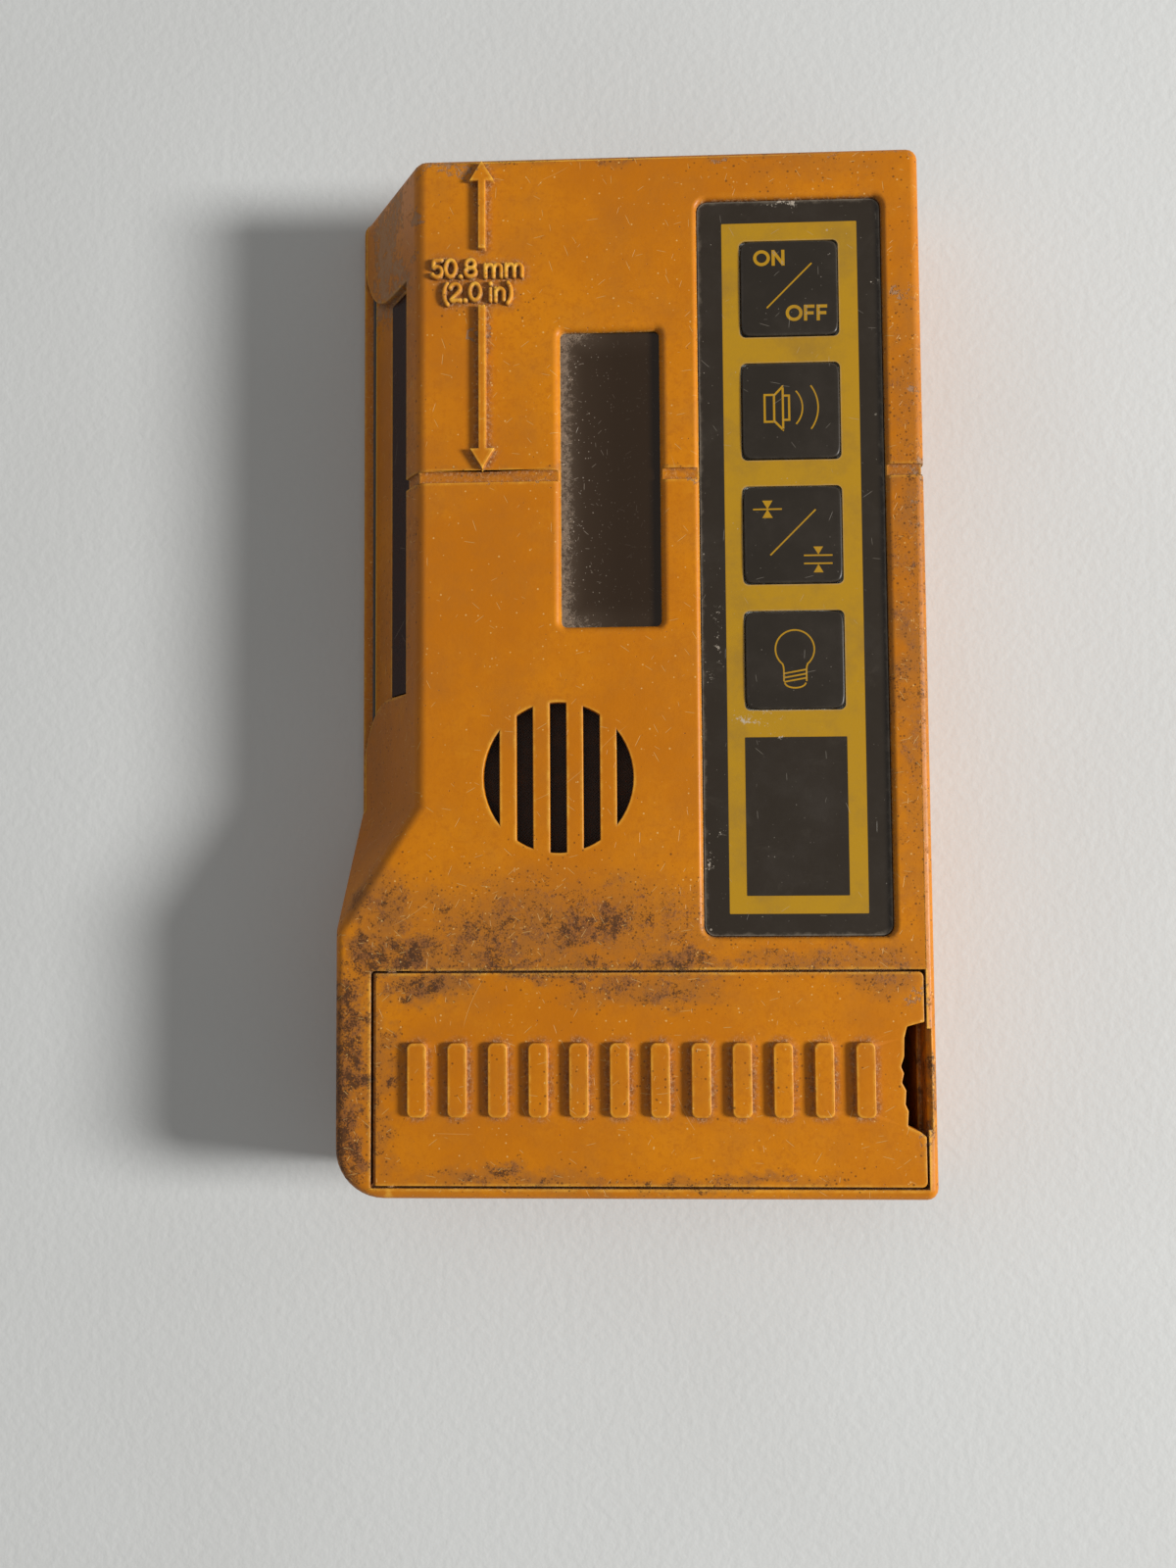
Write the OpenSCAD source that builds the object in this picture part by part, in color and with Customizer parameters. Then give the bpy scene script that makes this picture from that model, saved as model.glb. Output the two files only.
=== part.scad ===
// Hand-held laser receiver: a plastic case with one sloped side that holds the beam window.
// It lies on its back. X runs across the front face, Y towards the top edge, Z out of the front face.
// The origin is the centre of the back face. Sizes are in millimetres.

/* [Case] */
// Overall width across the foot of the case
body_w = 90.6; // [87:0.1:96]
// Overall length from the top edge to the bottom edge
body_l = 161; // [157:0.5:170]
// Thickness from the back face to the front face
body_t = 23; // [22.5:0.1:26]
// Width of the front face above the flare
upper_w = 78; // [76:0.1:80]
// Distance from the top edge to the start of the flare
flare_drop = 101.6; // [97:0.1:104]
// Length of the flare along the front edge
flare_l = 19.7; // [15:0.1:24]
// Radius of the knee where the flare meets the lower side wall
flare_r = 4; // [2:0.5:8]
// Step between the foot of the sloped side and the rear cover
foot_step = 0.3; // [0.2:0.05:1]
// Thickness of the side walls
wall = 2.2; // [1.8:0.1:2.4]
// Thickness of the sloped wall, square to it
slope_wall = 3.8; // [3.6:0.1:4.4]
// Thickness of the front wall
front_wall = 2.2; // [2:0.1:2.6]
// Rounding of the front edges
edge_r = 1.5; // [0.8:0.1:1.6]
// Plan radius of the three small corners
corner_r = 1.8; // [1:0.1:3]
// Plan radius of the large bottom left corner
foot_corner_r = 7.5; // [5:0.1:8]
// Height of the raised marks on the front
relief = 1; // [0.4:0.1:1.2]

/* [Rear cover] */
// Height of the rear cover at its edge
cover_t = 2.6; // [2.4:0.1:3.2]
// Rounding of the back edges
back_r = 0.8; // [0.3:0.1:1.2]
// Height of the lip that centres the cover in the case
lip_h = 1.2; // [0.8:0.1:1.4]
// Thickness of that lip
lip_t = 1.4; // [1:0.1:2]
// Thickness of the seal between cover and case
seal_t = 0.8; // [0.5:0.1:1]
// Diameter of the screw pillars
pillar_d = 6.4; // [5.6:0.1:7]
// Distance of the pillars from the edges of the case
pillar_in = 5.7; // [5.4:0.1:6.2]
// Shank diameter of the cover screws
screw_d = 2.9; // [2.4:0.1:3.2]
// Shank length of the cover screws
screw_l = 10; // [6:0.5:14]
// Bore diameter of the clamp thread insert
insert_bore = 5.1; // [4:0.1:6]
// Outer diameter of the clamp thread insert
insert_d = 9.5; // [8:0.1:11]
// Length of the clamp thread insert
insert_l = 7.4; // [5:0.1:7.8]
// Width of the bare rating plate on the back
rating_w = 56; // [40:1:64]
// Height of the bare rating plate on the back
rating_h = 26; // [16:1:30]

/* [Grade line] */
// Distance from the top edge to the grade line
grade_drop = 50.8; // [48:0.1:54]
// Width of the grade groove
groove_w = 1.7; // [1:0.1:2.4]
// Depth of the grade groove
groove_d = 0.5; // [0.3:0.1:0.8]
// Distance of the dimension arrows from the sloped edge
arrow_in = 10.2; // [8:0.1:13]
// Width of an arrow shaft
arrow_shaft = 1.15; // [0.8:0.05:1.6]
// Width of an arrow head
arrow_head_w = 3.9; // [3:0.1:5]
// Length of an arrow head
arrow_head_l = 3.2; // [2:0.1:4]
// Length of the arrow that points to the top edge
arrow_up_l = 14; // [10:0.5:16]
// Length of the arrow that points to the grade line
arrow_down_l = 25.8; // [18:0.5:28]
// Space between an arrow tip and the line that it points to
arrow_tip_gap = 1; // [0.5:0.1:2]

/* [Display] */
// Width of the display opening
display_w = 15.3; // [13:0.1:17]
// Height of the display opening
display_h = 46.2; // [42:0.1:49]
// Distance from the right edge of the case to the display opening
display_side = 40.4; // [39.5:0.1:42]
// How far the centre of the display lies below the grade line
display_drop = 0.4; // [-1:0.1:1]
// Rounding of the rim round the display, and the depth of the window
display_rim = 1.3; // [1:0.1:1.5]
// Corner radius of the display opening
display_r = 0.8; // [0.4:0.1:2]
// Thickness of the display window
window_t = 1.5; // [1:0.1:1.8]
// How far the window reaches behind the edge of its opening
window_lap = 1.8; // [1.2:0.1:2.2]
// Thickness of the liquid crystal glass
glass_t = 2.2; // [1.6:0.1:2.6]
// How far the glass reaches behind the edge of the opening
glass_lap = 1.2; // [0.8:0.1:1.6]
// Width of each contact strip under the glass
zebra_w = 2.4; // [1.6:0.1:3]

/* [Keypad] */
// Width of the keypad recess
pad_w = 28.5; // [26:0.1:29.5]
// Height of the keypad recess
pad_h = 114.2; // [108:0.1:115]
// Distance from the right edge of the case to the recess
pad_side = 5.9; // [5:0.1:7]
// Distance from the top edge of the case to the recess
pad_top = 7.65; // [7:0.05:9]
// Corner radius of the recess
pad_r = 1.6; // [0.8:0.1:3]
// Rounding of the rim of the recess, and the depth of the keypad face
pad_rim = 0.9; // [0.6:0.1:1]
// Thickness of the printed face sheet
overlay_t = 0.3; // [0.2:0.05:0.4]
// Thickness of the circuit sheet
circuit_t = 0.3; // [0.2:0.05:0.4]
// Side of the window in the face sheet round each key
key_size = 15.3; // [13:0.1:16.5]
// Gap round each key
key_gap = 0.15; // [0.1:0.05:0.3]
// Distance between keys
key_pitch = 19.35; // [18.6:0.05:20]
// Distance from the top of the recess to the first key centre
key_first = 14.15; // [12:0.05:15]
// How far a key stands above the face sheet
key_rise = 0.4; // [0.2:0.05:0.6]
// Travel of a key
key_travel = 0.4; // [0.2:0.05:0.5]
// Corner radius of a key
key_r = 0.9; // [0.4:0.1:2]
// Width of the flange that holds a key behind the face sheet
key_flange = 0.6; // [0.4:0.1:0.8]
// Diameter of a snap dome
dome_d = 10; // [7:0.5:12]

/* [Sounder] */
// Diameter of the sound grille
grille_d = 23; // [20:0.5:24]
// Distance from the right edge of the case to the grille centre
grille_side = 56.4; // [55:0.1:58]
// Distance from the top edge of the case to the grille centre
grille_drop = 97.5; // [96:0.1:100]
// Number of slots in the grille
grille_slots = 5; // [3:1:7]
// Diameter of the sounder case
buzzer_d = 24; // [22:0.5:25]

/* [Beam window] */
// Length of the beam window along the side
beam_l = 65; // [58:0.5:67]
// Width of the beam window on the slope
beam_w = 9; // [7.5:0.1:10]
// Distance from the sharp front edge to the window, along the slope
beam_in = 5.1; // [4.6:0.1:6]
// Thickness of the beam window
beam_t = 1.6; // [1.2:0.1:1.8]
// Depth of the scoop round the beam window
scoop_d = 1.2; // [0.8:0.1:1.4]
// Radius by which the scoop opens out towards the back
scoop_r = 12; // [8:0.5:14]
// Thickness of the light sensors
diode_t = 0.7; // [0.5:0.1:0.9]

/* [Battery bay] */
// Width of the battery door
door_w = 82.9; // [80:0.1:83.5]
// Height of the battery door
door_h = 31.85; // [31.6:0.05:33]
// Thickness of the battery door
door_t = 2; // [1.8:0.1:2.4]
// Distance from the right edge of the case to the door
door_side = 1.86; // [1.8:0.02:2.6]
// Distance from the bottom edge of the case to the door
door_foot = 2.1; // [2:0.05:2.6]
// Gap round the door
door_gap = 0.3; // [0.25:0.05:0.4]
// Distance from the left edge of the door to its pivot pins
pivot_in = 2.5; // [2.2:0.1:3]
// Depth of the pivot pins below the front face
pivot_sink = 1.4; // [1.3:0.05:1.5]
// Diameter of the pivot pins
pivot_d = 1.6; // [1.2:0.1:1.8]
// Length of each pivot pin past the edge of the door
pivot_l = 1.1; // [0.8:0.1:1.2]
// Width of the gap that the broken latch has left in the door
latch_w = 16.9; // [12:0.1:18]
// Depth of that gap
latch_d = 3.6; // [2.5:0.1:4.5]
// Distance from the top edge of the door to that gap
latch_drop = 7.5; // [6.5:0.1:8.5]
// Number of raised grip bars on the door
bar_count = 12; // [6:1:14]
// Width of one grip bar
bar_w = 2.9; // [2:0.1:3.4]
// Height of one grip bar
bar_h = 11.1; // [8:0.1:14]
// Distance between grip bars
bar_pitch = 6.1; // [5:0.1:6.2]
// Distance from the left edge of the door to the first bar
bar_in = 5.4; // [5.2:0.1:7]
// Diameter of a battery cell
cell_d = 14.5; // [13.5:0.1:14.5]
// Length of a battery cell with its button
cell_l = 50.5; // [48:0.1:52]
// Wall thickness of the battery tray
tray_wall = 0.9; // [0.8:0.05:1.1]
// Floor thickness of the battery tray
tray_floor = 1.2; // [1:0.1:1.4]
// Length of a contact spring between its plate and its cell
spring_l = 4.5; // [4:0.1:6]
// Wire diameter of a contact spring
spring_wire = 0.8; // [0.5:0.05:0.9]
// Turns in a contact spring
spring_turns = 3; // [2:1:3]

/* [Boards] */
// Depth of the main board below the inside of the front wall
board_drop = 7.2; // [6.8:0.1:8]
// Thickness of the main board
board_t = 1.6; // [1:0.1:2]
// Diameter of the pillars that carry the main board
post_d = 5; // [4.4:0.1:6]
// Shank diameter of the small board screws
board_screw_d = 2; // [1.6:0.1:2.4]
// Shank length of the main board screws
board_screw_l = 6; // [4:0.5:6.5]
// Thickness of the sensor board
sensor_board_t = 1.2; // [0.8:0.1:1.6]

/* [Hidden] */

$fn = 48;
// How far a cutter runs past the face that it cuts
past = 0.5;
// How far pieces of one moulding run into each other
weld = 0.05;
// Clearance of a plate in its pocket
fit = 0.15;
// Clearance of a screw shank or pin in its bore, at the radius
bore_fit = 0.05;
// Smallest plan radius of an outline
least_r = 0.1;
small_steps = 4;
big_steps = 10;
edge_steps = 4;

orange = [0.83, 0.50, 0.08];
ink = [0.06, 0.06, 0.06];
mustard = [0.72, 0.56, 0.10];
smoke = [0.16, 0.13, 0.11];
board_green = [0.05, 0.32, 0.16];
steel = [0.70, 0.71, 0.73];
brass = [0.80, 0.63, 0.25];

// Case outline
right_x = body_w / 2;
left_x = -right_x;
top_y = body_l / 2;
foot_y = -top_y;
inner_z = body_t - front_wall;
slope_x = right_x - upper_w;
slope_rise = body_t - cover_t;
slope_run = slope_x - left_x - foot_step;
slope_deg = atan(slope_run / slope_rise);
slope_l = slope_rise / cos(slope_deg);
slope_plan = slope_wall / cos(slope_deg);
flare_y = top_y - flare_drop;
grade_y = top_y - grade_drop;

// Battery bay
door_x1 = right_x - door_side;
door_x0 = door_x1 - door_w;
door_y0 = foot_y + door_foot;
door_y1 = door_y0 + door_h;
door_z0 = body_t - door_t;
door_seat_gap = 0.05;
frame_t = 2;
frame_z0 = door_z0 - door_seat_gap - frame_t;
pivot = [door_x0 + pivot_in, (door_y0 + door_y1) / 2, body_t - pivot_sink];
pivot_swing = norm([pivot_in, door_t - pivot_sink]) + door_gap;
door_chamfer = 0.5;
door_r = 0.8;
latch_y1 = door_y1 - latch_drop;
latch_y0 = latch_y1 - latch_w;
latch_ledge = 1.6;
// Points along the broken edge: share of the gap's width from its lower end, share of its depth
break_points = [[0.04, 0.25], [0.09, 0.76], [0.22, 0.72], [0.28, 0.84], [0.40, 0.80], [0.47, 0.97],
    [0.55, 0.88], [0.61, 1], [0.70, 0.86], [0.86, 0.84], [0.96, 0.72], [0.985, 0.3]];
plate_t = 0.5;
cell_gap = 0.2;
tray_gap = 0.4;
pivot_room = 2;
tray_x0 = pivot.x + pivot_swing + pivot_room;
tray_x1 = tray_x0 + 2 * plate_t + spring_l + cell_l + fit;
tray_y0 = foot_y + wall + tray_gap + tray_wall;
tray_y1 = tray_y0 + 2 * cell_d + 3 * cell_gap;
tray_top = tray_y1 + tray_wall;
tray_z0 = cover_t + lip_h + tray_gap;
cell_ys = [tray_y0 + cell_gap + cell_d / 2, tray_y1 - cell_gap - cell_d / 2];
cell_z = tray_z0 + tray_floor + fit + cell_d / 2;
plate_w = 10;
tab_w = 3;
tab_l = 1.5;
tab_rise = 3.5;
tab_z = tray_z0 + tray_floor + tab_rise;
cell_nub_l = 1;
cell_nub_d = cell_d * 0.38;
spring_x0 = tray_x0 + plate_t;
// Coil radius of a contact spring at its plate and at its cell, and its sides per turn
spring_wide = 4.8;
spring_narrow = 3;
coil_steps = 8;
wire_sides = 6;
lead_sides = 8;
bar_r = bar_w * 0.3;
notch_w = 1.2;
notch_in = 1;
foam_t = 0.8;
foam_in = 3;

// Extra room of the pillars beside the slope, the flare, the tray and the pivot of the door
pillar_slope_in = 1.1;
pillar_flare_in = 3.1;
pillar_flare_up = 6.5;
pillar_tray_up = 5;
pillar_pivot_in = [1, 0.8];
pillar_pivot_drop = 0.6;
pillar_foot_up = 0.4;
foot_pillar = [left_x + pillar_in + pillar_pivot_in.x, foot_y + pillar_in + pillar_pivot_in.y,
    pivot.z - pivot_swing - pillar_pivot_drop];
flare_pillar = [left_x + pillar_in + pillar_flare_in, tray_top + pillar_flare_up, inner_z + weld];
// Screw pillars, as [x, y, top]
pillars = [
    [slope_x + pillar_in + pillar_slope_in, top_y - pillar_in, inner_z + weld],
    [right_x - pillar_in, top_y - pillar_in, inner_z + weld],
    flare_pillar,
    [right_x - pillar_in, tray_top + pillar_tray_up, inner_z + weld],
    foot_pillar,
    [right_x - pillar_in, foot_y + pillar_in + pillar_foot_up, frame_z0 + weld]];
web_t = 2;
head_h = 1.6;
cover_head_d = 5.6;
head_sink = 0.1;
head_room = 0.2;
boss_cap = 1.6;
boss_wall = 2.2;
rating_t = 0.4;
rating_y = -38;

// Main board between its low and high corners, clear of the slope, the tray and the pillars
board_z = inner_z - board_drop;
board_under = board_z - board_t;
board_slope_gap = 5.2;
board_sensor_gap = 0.5;
board_pillar_gap = 1;
board_tray_gap = 3.3;
board_right_gap = 9.8;
board_top_gap = 10.5;
sensor_depth = (sensor_board_t + head_h) / cos(slope_deg);
board_lo = [max(slope_x + board_slope_gap, slope_inside(board_under) + sensor_depth + board_sensor_gap,
    flare_pillar.x + pillar_d / 2 + board_pillar_gap), tray_top + board_tray_gap];
board_hi = [right_x - board_right_gap, top_y - board_top_gap];
post_in = 3.8;
post_xs = [board_lo.x + post_in, board_hi.x - post_in];
post_ys = [board_lo.y + post_in, board_hi.y - post_in];
posts = [for (x = post_xs, y = post_ys) [x, y]];
board_head_d = 4.2;
recess_l = 2.6;
recess_w = 0.7;
recess_d = 0.8;
// Chips on the back of the board: corner measured back from the board's high corner, then size
chips = [[-22, -48, 14, 14, 2], [-20, -70, 8, 12, 1.8], [-44, -40, 8, 12, 1.8], [-22, -26, 11, 4.4, 3.4]];
capacitor = [6, 5];
capacitor_at = [-45, -14];
capacitor_pitch = 9;
resistor = [2, 3.2, 0.7];
resistor_at = [-46, -24];
resistor_pitch = 4;

// Display stack, from the window down to the board
display_c = [right_x - display_side - display_w / 2, grade_y - display_drop];
window_z1 = body_t - display_rim;
window_z0 = window_z1 - window_t;
lens_gap = 0.1;
frame_lip = 0.5;
frame_wall = 1.2;
lcd_z1 = window_z0 - lens_gap - frame_lip - weld;
lcd_z0 = lcd_z1 - glass_t;
lcd_w = display_w + 2 * glass_lap;
lcd_h = display_h + 2 * glass_lap;

// Keypad stack, from the face sheet down to the floor of the recess
key_count = 4;
pad_c = [right_x - pad_side - pad_w / 2, top_y - pad_top - pad_h / 2];
flange_t = 0.3;
flange_gap = 0.03;
dome_flat = 0.07;
spacer_t = flange_gap + flange_t + key_travel + dome_flat;
overlay_z1 = body_t - pad_rim;
overlay_z0 = overlay_z1 - overlay_t;
spacer_z0 = overlay_z0 - spacer_t;
pad_floor_z = spacer_z0 - circuit_t;
pad_floor_t = 1.2;
key_z0 = overlay_z0 - flange_gap - flange_t;
key_cap = key_size - 2 * key_gap;
key_foot = key_size + 2 * key_flange;
dome_h = key_z0 - spacer_z0 - flange_gap;
dome_t = 0.1;
dome_r = (dome_d * dome_d / 4 + dome_h * dome_h) / (2 * dome_h);
key_ys = [for (i = [0:key_count - 1]) pad_c.y + pad_h / 2 - key_first - i * key_pitch];
tail_up = 8.5;
tail_c = [pad_c.x, pad_c.y - pad_h / 2 + tail_up];
tail_w = 10;
tail_room = 0.3;
connector_h = 4;
connector_slot = 3;
connector_lap = 2;
connector_t = 4.8;
tail_z = board_z + connector_h - connector_slot + fit;

// Sounder
cloth_t = 0.3;
cloth_lap = 1;
grille_c = [max(right_x - grille_side, slope_inside(inner_z) + grille_d / 2 + cloth_lap + fit),
    top_y - grille_drop];
buzzer_wall = 1.3;
buzzer_floor = 1.2;
buzzer_z1 = inner_z - 2 * cloth_t;
disc_t = 0.4;
disc_sink = 2;
disc_z = buzzer_z1 - disc_sink;

// Beam window, measured down the slope from its sharp front edge
scoop_edge = 0.3;
scoop_end = 0.6;
scoop_in = beam_in - scoop_edge;
scoop_half = beam_l / 2 + scoop_end;
seat_n = -scoop_d - beam_t;
ledge = 1.6;
sensor_board_lap = [1.5, 3.5];
sensor_board_l = beam_l + 2 * sensor_board_lap.y;
sensor_board_w = beam_w + 2 * sensor_board_lap.x;
sensor_mid = -beam_in - beam_w / 2;
sensor_screw_out = 1.9;
sensor_screw_cap = 0.7;
sensor_screw_y = beam_l / 2 + sensor_screw_out;
sensor_screw_l = slope_wall - scoop_d - sensor_screw_cap;
diode_gap = 1;
ribbon_t = 0.3;
ribbon_w = 8;
ribbon_y = -20;
ribbon_drop = 9;
ribbon_lead = 1.4;
ribbon_bend = [1.6, 0.6];
ribbon_lap = 4;

// Lead routes from the contact tabs, round the corner of the tray, to the underside of the main board
lead_d = 1.2;
lead_start_x = tray_x0 - tray_wall - tab_l;
lead_starts = [for (y = cell_ys) [lead_start_x, y, tab_z]];
tray_turn = [lead_start_x, tray_top, tab_z];
board_turn = [board_lo.x, board_lo.y, board_under];
red_route = [lead_starts[1], lead_starts[1] + lead_d * [-1.6, 0, 0],
    tray_turn + lead_d * [-2.6, -4.25, 0.25], tray_turn + lead_d * [-1.9, -0.3, 0.4],
    tray_turn + lead_d * [1.9, 2.4, 0.6], board_turn + lead_d * [4.6, 1.6, -2],
    board_turn + lead_d * [7.75, 2.6, -1.7], board_turn + lead_d * [7.9, 3, -1],
    board_turn + lead_d * [7.9, 3, 0]];
black_route = [lead_starts[0], lead_starts[0] + lead_d * [-1.75, 0, 0],
    lead_starts[0] + lead_d * [-3.75, 3, -1.6], tray_turn + lead_d * [-4.6, -8.8, -2],
    tray_turn + lead_d * [-3.3, -0.9, -2], tray_turn + lead_d * [1.7, 2.8, -1.75],
    board_turn + lead_d * [6.25, 1.25, -3.4], board_turn + lead_d * [10.1, 2.4, -2.2],
    board_turn + lead_d * [10.4, 3, -1], board_turn + lead_d * [10.4, 3, 0]];

// X of the sloped face at a height
function slope_at(z) = slope_x - (body_t - z) * tan(slope_deg);

// X of the inside of the sloped wall at a height
function slope_inside(z) = slope_at(z) + slope_plan;

// Inward normal of the flare, which leads from the slope to the lower side wall
function flare_normal(sx) =
    let (n = [flare_l, sign(left_x - max(sx, slope_x)) * abs(left_x - slope_x)])
    n / norm(n);

// A ring of plan points lifted to a height
function lift(points, z) = [for (p = points) [p.x, p.y, z]];

// Where two lines meet, each given as [normal, distance along the normal]
function meet(a, b) =
    let (det = a[0].x * b[0].y - a[0].y * b[0].x)
    [(a[1] * b[0].y - b[1] * a[0].y) / det, (a[0].x * b[1] - b[0].x * a[1]) / det];

// Points round the corner between two lines whose normals point inwards, bulging or hollow
function corner(a, b, r, steps) =
    let (turn = atan2(a[0].x * b[0].y - a[0].y * b[0].x, a[0] * b[0]),
        bend = turn < 0 ? -r : r,
        centre = meet([a[0], a[1] + bend], [b[0], b[1] + bend]),
        start = atan2(-a[0].y, -a[0].x))
    [for (i = [0:steps]) centre + bend * [cos(start + turn * i / steps), sin(start + turn * i / steps)]];

// Plan outline of the case at a height, drawn in by one amount at the slope and another elsewhere
function case_ring(z, inset, slope_inset) =
    let (sx = slope_at(z),
        right = [[-1, 0], inset - right_x],
        top = [[0, -1], inset - top_y],
        slope = [[1, 0], sx + slope_inset],
        flare_n = flare_normal(sx),
        flare = [flare_n, flare_n * [sx, flare_y] + inset],
        side = [[1, 0], left_x + inset],
        foot = [[0, 1], foot_y + inset],
        small = max(corner_r - inset, least_r),
        knee = max(flare_r * (z - cover_t) / slope_rise - inset, least_r),
        big = max(foot_corner_r - inset, least_r))
    lift(concat(corner(right, top, small, small_steps), corner(top, slope, small, small_steps),
        [meet(slope, flare)], corner(flare, side, knee, small_steps),
        corner(side, foot, big, big_steps), corner(foot, right, small, small_steps)), z);

// Plan outline of the rear cover
function cover_ring(z, inset) =
    let (right = [[-1, 0], inset - right_x],
        top = [[0, -1], inset - top_y],
        side = [[1, 0], left_x + inset],
        foot = [[0, 1], foot_y + inset],
        small = max(corner_r - inset, least_r),
        big = max(foot_corner_r - inset, least_r))
    lift(concat(corner(right, top, small, small_steps), corner(top, side, small, small_steps),
        corner(side, foot, big, big_steps), corner(foot, right, small, small_steps)), z);

// Rounded rectangle grown by an amount
function rect_ring(w, h, r, grow, z) =
    let (right = [[-1, 0], -w / 2 - grow],
        top = [[0, -1], -h / 2 - grow],
        left = [[1, 0], -w / 2 - grow],
        foot = [[0, 1], -h / 2 - grow])
    lift(concat(corner(right, top, r + grow, small_steps), corner(top, left, r + grow, small_steps),
        corner(left, foot, r + grow, small_steps), corner(foot, right, r + grow, small_steps)), z);

// Heights and offsets along a quarter round, from its upright end to its level end
function quarter(r) =
    [for (i = [1:edge_steps]) let (a = 90 * i / edge_steps) [r * sin(a), r * (1 - cos(a))]];

// Solid through rings of equal count, which run anticlockwise as seen from the last ring
module loft(rings) {
    n = len(rings[0]);
    last = n * (len(rings) - 1);
    sides = [for (j = [0:len(rings) - 2], i = [0:n - 1])
        [j * n + i, j * n + (i + 1) % n, (j + 1) * n + (i + 1) % n, (j + 1) * n + i]];
    polyhedron(
        points = [for (ring = rings) each ring],
        faces = concat([[for (i = [0:n - 1]) i]], [[for (i = [n - 1:-1:0]) last + i]],
            [for (f = sides) [f[0], f[3], f[2]]], [for (f = sides) [f[0], f[2], f[1]]]));
}

// Cutter for an opening whose rim is rounded, with its top at the front face
module rim_cut(w, h, r, rim, depth) {
    rings = concat([rect_ring(w, h, r, 0, -depth), rect_ring(w, h, r, 0, -rim)],
        [for (q = quarter(rim)) rect_ring(w, h, r, q[1], q[0] - rim)],
        [rect_ring(w, h, r, rim, past)]);
    loft(rings);
}

// Flat plate with round corners, from z = 0 up
module plate(w, h, r, t) {
    linear_extrude(height = t)
        union() {
            square([w - 2 * r, h], center = true);
            square([w, h - 2 * r], center = true);
            for (x = [-1, 1], y = [-1, 1]) translate([x * (w / 2 - r), y * (h / 2 - r)]) circle(r);
        }
}

// Cylinder drawn from a plan point, between two heights
module post(at, d, z0, z1) {
    translate([at.x, at.y, z0]) cylinder(d = d, h = z1 - z0);
}

// Box between two corners
module block(lo, hi) {
    translate(lo) cube(hi - lo);
}

// Local frame of the sloped face: x runs up to its sharp front edge, y along the side, z outwards
module on_slope() {
    translate([slope_x, grade_y, body_t]) rotate([0, slope_deg - 90, 0]) children();
}

// Countersunk cross recess for a screw head whose outer face is at z = 0 and looks down
module cross_recess() {
    for (turn = [0, 90]) rotate([0, 0, turn])
        block([-recess_l / 2, -recess_w / 2, -past], [recess_l / 2, recess_w / 2, recess_d]);
}

// Round tube through points, with rings square to the path
module tube(points, d, sides) {
    n = len(points);
    rings = [for (i = [0:n - 1])
        let (a = points[max(i - 1, 0)], b = points[min(i + 1, n - 1)],
            t = (b - a) / norm(b - a),
            u0 = abs(t.z) < 0.9 ? cross(t, [0, 0, 1]) : cross(t, [0, 1, 0]),
            u = u0 / norm(u0),
            v = cross(t, u))
        [for (k = [0:sides - 1]) let (a = 360 * k / sides)
            points[i] + d / 2 * (cos(a) * u + sin(a) * v)]];
    loft(rings);
}

// Outer form of the case with its rounded front edges
module case_solid() {
    levels = concat([[cover_t, 0], [body_t - edge_r, 0]],
        [for (q = quarter(edge_r)) [body_t - edge_r + q[0], q[1]]]);
    loft([for (v = levels) case_ring(v[0], v[1], v[1])]);
}

// Straight plug of the case outline between two heights
module case_plug(z0, z1, inset, slope_inset) {
    loft([case_ring(z0, inset, slope_inset), case_ring(z1, inset, slope_inset)]);
}

// Raised arrow that points along +Y with its tip at the origin, rooted below the face
module arrow(l) {
    root = edge_r / 2;
    translate([0, 0, -root]) linear_extrude(height = relief + root)
        polygon([[0, 0], [-arrow_head_w / 2, -arrow_head_l], [-arrow_shaft / 2, -arrow_head_l],
            [-arrow_shaft / 2, -l], [arrow_shaft / 2, -l], [arrow_shaft / 2, -arrow_head_l],
            [arrow_head_w / 2, -arrow_head_l]]);
}

// The pair of arrows that span the distance from the top edge to the grade line
module dimension_arrows() {
    x = slope_x + arrow_in;
    translate([x, top_y - arrow_tip_gap, body_t]) arrow(arrow_up_l);
    translate([x, grade_y + arrow_tip_gap, body_t]) rotate([0, 0, 180]) arrow(arrow_down_l);
}

// Shallow groove round the front, the right wall and the slope, level with the grade line
module grade_cut() {
    difference() {
        block([-body_w, grade_y - groove_w / 2, cover_t - past],
            [body_w, grade_y + groove_w / 2, body_t + past]);
        case_plug(cover_t - 2 * past, body_t - groove_d, groove_d, groove_d / cos(slope_deg));
    }
}

// Slots of the sound grille, with slots and bars of one width
module grille_cut() {
    slot = grille_d / (2 * grille_slots - 1);
    translate([grille_c.x, grille_c.y, inner_z - past])
        intersection() {
            cylinder(d = grille_d, h = front_wall + 2 * past);
            for (i = [0:grille_slots - 1])
                translate([-grille_d / 2 + 2 * i * slot, -grille_d / 2, 0])
                    cube([slot, grille_d, front_wall + 2 * past]);
        }
}

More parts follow.
